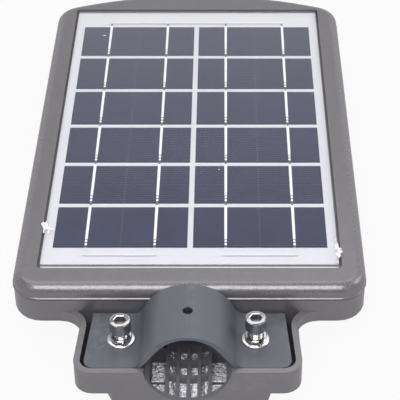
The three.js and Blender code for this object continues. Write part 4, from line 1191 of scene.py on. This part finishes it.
def make_led_board():
    """Light board, with the packages, their phosphor and the solder pads as pieces of their own."""
    node = "led_board"
    low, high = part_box(node)
    underside = high.z - 1.6 * MM
    edge = 0.1 * MM
    board, packages = bmesh.new(), bmesh.new()
    phosphor, pads = bmesh.new(), bmesh.new()
    plate(board, rounded_rectangle(low, high, 2 * MM, 4), [
        (underside, edge), (underside + edge, 0), (high.z - edge, 0), (high.z, edge)])
    package, pad_width, pad_depth = 3 * MM, 1.1 * MM, 2.6 * MM
    bedded = underside + 0.02 * MM
    for spot in light_grid():
        small_block(packages, spot, package, package, low.z + 0.04 * MM, bedded, 0.15 * MM)
        for side in (-1, 1):
            aside = Vector((side * 1.55 * MM, 0, 0))
            small_block(pads, spot + aside, pad_width, pad_depth, underside - 0.12 * MM, bedded, 0.04 * MM)
        turned(phosphor, spot, [(low.z + 0.06 * MM, 1.18 * MM), (low.z + 0.01 * MM, 1.1 * MM),
                                (low.z + 0.005 * MM, 0.7 * MM)], 20)
    dress(from_bmesh("led_board_plate", board), "led_aluminium", node)
    dress(from_bmesh("led_packages", packages), "milky_plastic", node, stands_for_node=False)
    dress(from_bmesh("led_phosphor", phosphor), "milky_plastic", node, stands_for_node=False,
          finish="led_phosphor")
    dress(from_bmesh("led_pads", pads), "tinned_ribbon", node, stands_for_node=False)


def make_light():
    """The light's lens plate, its seal and its board."""
    make_lens_plate()
    rounded_copy("lens_seal", 0.3 * MM, "black_rubber")
    make_led_board()


# Sensor and button


def make_sensor_dome():
    """Milky dome of small sunk facets over the motion sensor, with its flange above."""
    node = "sensor_dome"
    low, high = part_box(node)
    rim = (high.x - low.x) / 2
    flange = high.z - 1 * MM
    edge = 0.2 * MM
    radius = 11 * MM
    height = flange - low.z
    bend = (radius ** 2 + height ** 2) / (2 * height)
    start = math.asin(min(1, radius / bend))
    levels = 9
    outline = [(high.z, radius - 1.2 * MM), (high.z, rim - edge), (high.z - edge, rim),
               (flange + edge, rim), (flange, rim - edge), (flange, radius)]
    for step in range(1, levels):
        angle = start * (1 - step / levels)
        outline.append((low.z + bend - bend * math.cos(angle), bend * math.sin(angle)))
    work = bmesh.new()
    turned(work, (low + high) / 2, outline, 48)
    work.normal_update()
    facets = [face for face in work.faces
              if face.calc_center_median().z < flange - edge and len(face.verts) == 4]
    bmesh.ops.recalc_face_normals(work, faces=work.faces)
    bmesh.ops.inset_individual(work, faces=facets, thickness=0.16 * MM, depth=-0.14 * MM)
    dress(from_bmesh(node + "_moulded", work, 50), "milky_plastic", node)


def make_button():
    """Rubber push button with a dished face, a raised ring and a flange."""
    node = "power_button"
    low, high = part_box(node)
    work = bmesh.new()
    turned(work, (low + high) / 2, [
        (low.z + 0.4 * MM, 0), (low.z + 0.35 * MM, 2.2 * MM), (low.z + 0.12 * MM, 2.6 * MM),
        (low.z + 0.12 * MM, 3.4 * MM), (low.z + 0.38 * MM, 3.8 * MM), (low.z + 0.2 * MM, 4.7 * MM),
        (low.z, 5.2 * MM), (low.z + 0.2 * MM, 5.7 * MM), (low.z + 0.8 * MM, 6 * MM),
        (high.z - 1.2 * MM, 6 * MM), (high.z - 1 * MM, 6.2 * MM), (high.z - 1 * MM, 7.3 * MM),
        (high.z - 0.8 * MM, 7.5 * MM), (high.z - 0.2 * MM, 7.5 * MM), (high.z, 7.3 * MM), (high.z, 0),
    ], 56)
    dress(from_bmesh(node + "_moulded", work, 50), "black_rubber", node)


def make_controls():
    """The motion sensor and the push button, each with what it works on."""
    make_sensor_dome()
    rounded_copy("sensor_board", 0.2 * MM, "circuit_board")
    make_button()
    rounded_copy("switch_body", 0.4 * MM, "black_plastic")


# Housing screws and insides


def cross_radius(long, short, width):
    """Outline of a cross recess: long arms, tight between them."""
    def radius_at(angle):
        aside = abs(((angle + TURN / 8) % (TURN / 4)) - TURN / 8)
        if aside < math.atan2(width, long):
            return long / math.cos(aside)
        return max(short, min(long, width / math.sin(aside)))
    return radius_at


def make_housing_screw(number):
    """Pan head screw with a cross recess and a coarse thread, head down."""
    node = f"housing_screw_{number}"
    low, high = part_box(node)
    centre = (low + high) / 2
    head = (high.x - low.x) / 2
    seat = low.z + 2.4 * MM
    recess = cross_radius(1.7 * MM, 0.6 * MM, 0.4 * MM)
    work = bmesh.new()

    def thread_reach(z, phase):
        point = min(1.0, 0.25 + (high.z - z) / (3 * MM))
        return (1.7 * MM - 0.35 * MM * min(1.0, 3.2 * abs(phase - 0.5))) * point

    threaded_rod(work, centre, seat - 0.2 * MM, high.z, 1.4 * MM, 6, 20, thread_reach)
    turned(work, centre, [
        (seat, 1.5 * MM),
        (seat, head - 0.2 * MM),
        (seat - 0.2 * MM, head - 0.02 * MM),
        (seat - 1.1 * MM, head - 0.1 * MM),
        (low.z + 0.6 * MM, head * 0.86),
        (low.z + 0.1 * MM, head * 0.66),
        (low.z, head * 0.56),
        (low.z + 0.05 * MM, recess),
        (low.z + 1.4 * MM, lambda angle: recess(angle) * 0.55),
    ], 64)
    dress(from_bmesh(node + "_rolled", work, 30), "zinc_steel", node)


def make_fasteners():
    """The eight screws that join the housings."""
    for number in range(1, 9):
        make_housing_screw(number)


def make_insides():
    """Battery, controller and the leads between them and the panel and the light."""
    rounded_copy("battery_holder", 0.4 * MM, "black_plastic")
    for number in range(1, 5):
        rounded_copy(f"battery_cell_{number}", 0.7 * MM, "battery_sleeve", 3)
    rounded_copy("controller_board", 0.3 * MM, "circuit_board")
    for node in ("panel_lead", "light_lead", "battery_lead"):
        soft_copy(node, "lead_sleeve")


# Stage


def make_camera():
    """Camera at the photograph's viewing angle."""
    lens = bpy.data.cameras.new("lamp camera")
    lens.sensor_width = 36
    lens.lens = 131.58
    lens.shift_x = -0.06525
    lens.clip_start = 10 * MM
    camera = bpy.data.objects.new("lamp_camera", lens)
    camera.location = (0.0209, -0.7608, 0.584)
    camera.rotation_euler = (math.radians(52.58), 0, 0)
    bpy.context.scene.collection.objects.link(camera)
    bpy.context.scene.camera = camera


def make_world(look):
    """Even light that is weak from above, and stronger low behind the lamp than low before it."""
    world = bpy.data.worlds.new("even light")
    world.use_nodes = True
    tree = world.node_tree
    background = tree.nodes["Background"]
    background.inputs["Color"].default_value = (1, 1, 1, 1)
    direction = add(tree, "ShaderNodeTexCoord").outputs["Generated"]
    parts = add(tree, "ShaderNodeSeparateXYZ", None, {0: direction}).outputs
    low_level = remap(tree, parts[1], -1.0, 1.0, look.before_level, look.behind_level)
    height = remap(tree, parts[2], 0.42, 0.68)
    level = add(tree, "ShaderNodeMix", None, {0: height, 2: low_level, 3: look.zenith_level})
    feed(tree, background, {"Strength": level.outputs[0]})
    bpy.context.scene.world = world


def soft_light(name, place, target, size, power):
    """Rectangular soft box that faces its target."""
    lamp = bpy.data.lights.new(name, "AREA")
    lamp.energy = power
    lamp.shape = "RECTANGLE"
    lamp.size, lamp.size_y = size
    light = bpy.data.objects.new(name, lamp)
    light.location = place
    light.rotation_euler = (Vector(target) - Vector(place)).to_track_quat("-Z", "Y").to_euler()
    bpy.context.scene.collection.objects.link(light)


def make_floor(look):
    """Pale floor: near white to the camera, darker in shiny parts, with the lamp's shadow on it."""
    work = bmesh.new()
    bmesh.ops.create_grid(work, x_segments=2, y_segments=2, size=4)
    floor = from_bmesh("floor", work)
    material, tree, shader, position = start_material("pale floor", {"Roughness": 0.9})
    shade = use_group(tree, "Colour drift", {"Position": position, "Colour": rgba(look.floor_colour),
                                             "Patch size": 0.4, "Amount": 0.01})
    feed(tree, shader, {"Base Color": shade["Colour"]})
    glow = add(tree, "ShaderNodeEmission", None, {"Color": (1, 1, 1, 1), "Strength": 1.0})
    path = add(tree, "ShaderNodeLightPath").outputs
    straight = calc(tree, "MAXIMUM", path["Is Camera Ray"], path["Is Transmission Ray"])
    share = calc(tree, "MAXIMUM", times(tree, straight, 0.93), times(tree, path["Is Glossy Ray"], 0.4))
    mixed = add(tree, "ShaderNodeMixShader", None, {0: share, 1: shader.outputs[0], 2: glow.outputs[0]})
    feed(tree, tree.nodes["Material Output"], {"Surface": mixed.outputs[0]})
    floor.data.materials.append(material)


def make_stage(look):
    """Camera, even light, soft boxes and floor."""
    bpy.context.scene.view_settings.view_transform = "Standard"
    make_camera()
    make_world(look)
    for name, place, target, size, power in (
            ("main_light", (-0.08, -0.74, 0.88), (0, -0.14, 0.04), (0.9, 0.66), look.main_power),
            ("far_light", (-0.05, 0.26, 0.8), (0, 0.14, 0.04), (1.2, 0.6), look.far_power),
            ("side_light", (1.0, 0.05, 0.75), (0, 0.05, 0.04), (0.6, 0.6), look.side_power),
            ("left_fill_light", (-0.75, -0.95, 0.5), (0, -0.18, 0.02), (0.5, 0.5), look.fill_power),
            ("right_fill_light", (0.75, -0.95, 0.5), (0, -0.18, 0.02), (0.5, 0.5), look.fill_power)):
        soft_light(name, place, target, size, power)
    make_floor(look)


# Operators


class LAMP_OT_finishes(bpy.types.Operator):
    """Make the finishes and the node groups that they share"""

    bl_idname = "lamp.finishes"
    bl_label = "Finishes"

    def execute(self, context):
        finishes.update(make_materials(context.scene))
        return {"FINISHED"}


class LAMP_OT_stage(bpy.types.Operator):
    """Set up the floor, the soft light and the camera"""

    bl_idname = "lamp.stage"
    bl_label = "Stage"

    def execute(self, context):
        make_stage(context.scene.lamp_stage)
        return {"FINISHED"}


class LAMP_OT_housings(bpy.types.Operator):
    """Mould the upper and lower housing and the gasket between them"""

    bl_idname = "lamp.housings"
    bl_label = "Housings"

    def execute(self, context):
        make_housings(context.scene.lamp_housing)
        return {"FINISHED"}


class LAMP_OT_panel(bpy.types.Operator):
    """Lay up the solar panel: sheet, cells, ribbons, glass and junction box"""

    bl_idname = "lamp.panel"
    bl_label = "Solar panel"

    def execute(self, context):
        make_panel(context.scene.lamp_panel)
        return {"FINISHED"}


class LAMP_OT_sealant(bpy.types.Operator):
    """Squeeze the beads of sealant beside the panel"""

    bl_idname = "lamp.sealant"
    bl_label = "Sealant"

    def execute(self, context):
        make_sealant()
        return {"FINISHED"}


class LAMP_OT_cap(bpy.types.Operator):
    """Mould the clamp cap over the arm socket"""

    bl_idname = "lamp.cap"
    bl_label = "Clamp cap"

    def execute(self, context):
        make_cap(context.scene.lamp_housing)
        return {"FINISHED"}


class LAMP_OT_hardware(bpy.types.Operator):
    """Turn the clamp screws, washers and nuts"""

    bl_idname = "lamp.hardware"
    bl_label = "Clamp screws"

    def execute(self, context):
        make_hardware(context.scene.lamp_clamp)
        return {"FINISHED"}


class LAMP_OT_light(bpy.types.Operator):
    """Make the lens plate, its seal and the light board"""

    bl_idname = "lamp.light"
    bl_label = "Light"

    def execute(self, context):
        make_light()
        return {"FINISHED"}


class LAMP_OT_controls(bpy.types.Operator):
    """Make the motion sensor and the push button"""

    bl_idname = "lamp.controls"
    bl_label = "Sensor and button"

    def execute(self, context):
        make_controls()
        return {"FINISHED"}


class LAMP_OT_fasteners(bpy.types.Operator):
    """Make the screws that join the two housings"""

    bl_idname = "lamp.fasteners"
    bl_label = "Housing screws"

    def execute(self, context):
        make_fasteners()
        return {"FINISHED"}


class LAMP_OT_insides(bpy.types.Operator):
    """Make the battery, the controller and the leads inside"""

    bl_idname = "lamp.insides"
    bl_label = "Battery and controller"

    def execute(self, context):
        make_insides()
        return {"FINISHED"}


OPERATORS = (
    LAMP_OT_finishes, LAMP_OT_stage, LAMP_OT_housings, LAMP_OT_panel, LAMP_OT_sealant, LAMP_OT_cap,
    LAMP_OT_hardware, LAMP_OT_light, LAMP_OT_controls, LAMP_OT_fasteners, LAMP_OT_insides,
)
LOOKS = {
    "lamp_housing": HousingLook,
    "lamp_panel": PanelLook,
    "lamp_clamp": ClampLook,
    "lamp_stage": StageLook,
}


class LAMP_PT_parts(bpy.types.Panel):
    """Lists the pieces of the street lamp and the values of its finishes"""

    bl_idname = "LAMP_PT_parts"
    bl_label = "Street lamp"
    bl_space_type = "VIEW_3D"
    bl_region_type = "UI"
    bl_category = "Street lamp"

    def draw(self, context):
        column = self.layout.column()
        for operator in OPERATORS:
            column.operator(operator.bl_idname)
        for label, look in LOOKS.items():
            box = self.layout.box()
            for name in look.__annotations__:
                box.prop(getattr(context.scene, label), name)


CLASSES = (*LOOKS.values(), *OPERATORS, LAMP_PT_parts)


def register():
    for item in CLASSES:
        bpy.utils.register_class(item)
    for label, look in LOOKS.items():
        setattr(bpy.types.Scene, label, PointerProperty(type=look))


def unregister():
    for label in LOOKS:
        delattr(bpy.types.Scene, label)
    for item in reversed(CLASSES):
        bpy.utils.unregister_class(item)


def main():
    register()
    bpy.ops.lamp.finishes()
    bpy.ops.lamp.stage()
    bpy.ops.lamp.housings()
    bpy.ops.lamp.panel()
    bpy.ops.lamp.sealant()
    bpy.ops.lamp.cap()
    bpy.ops.lamp.hardware()
    bpy.ops.lamp.light()
    bpy.ops.lamp.controls()
    bpy.ops.lamp.fasteners()
    bpy.ops.lamp.insides()


if __name__ == "__main__":
    main()
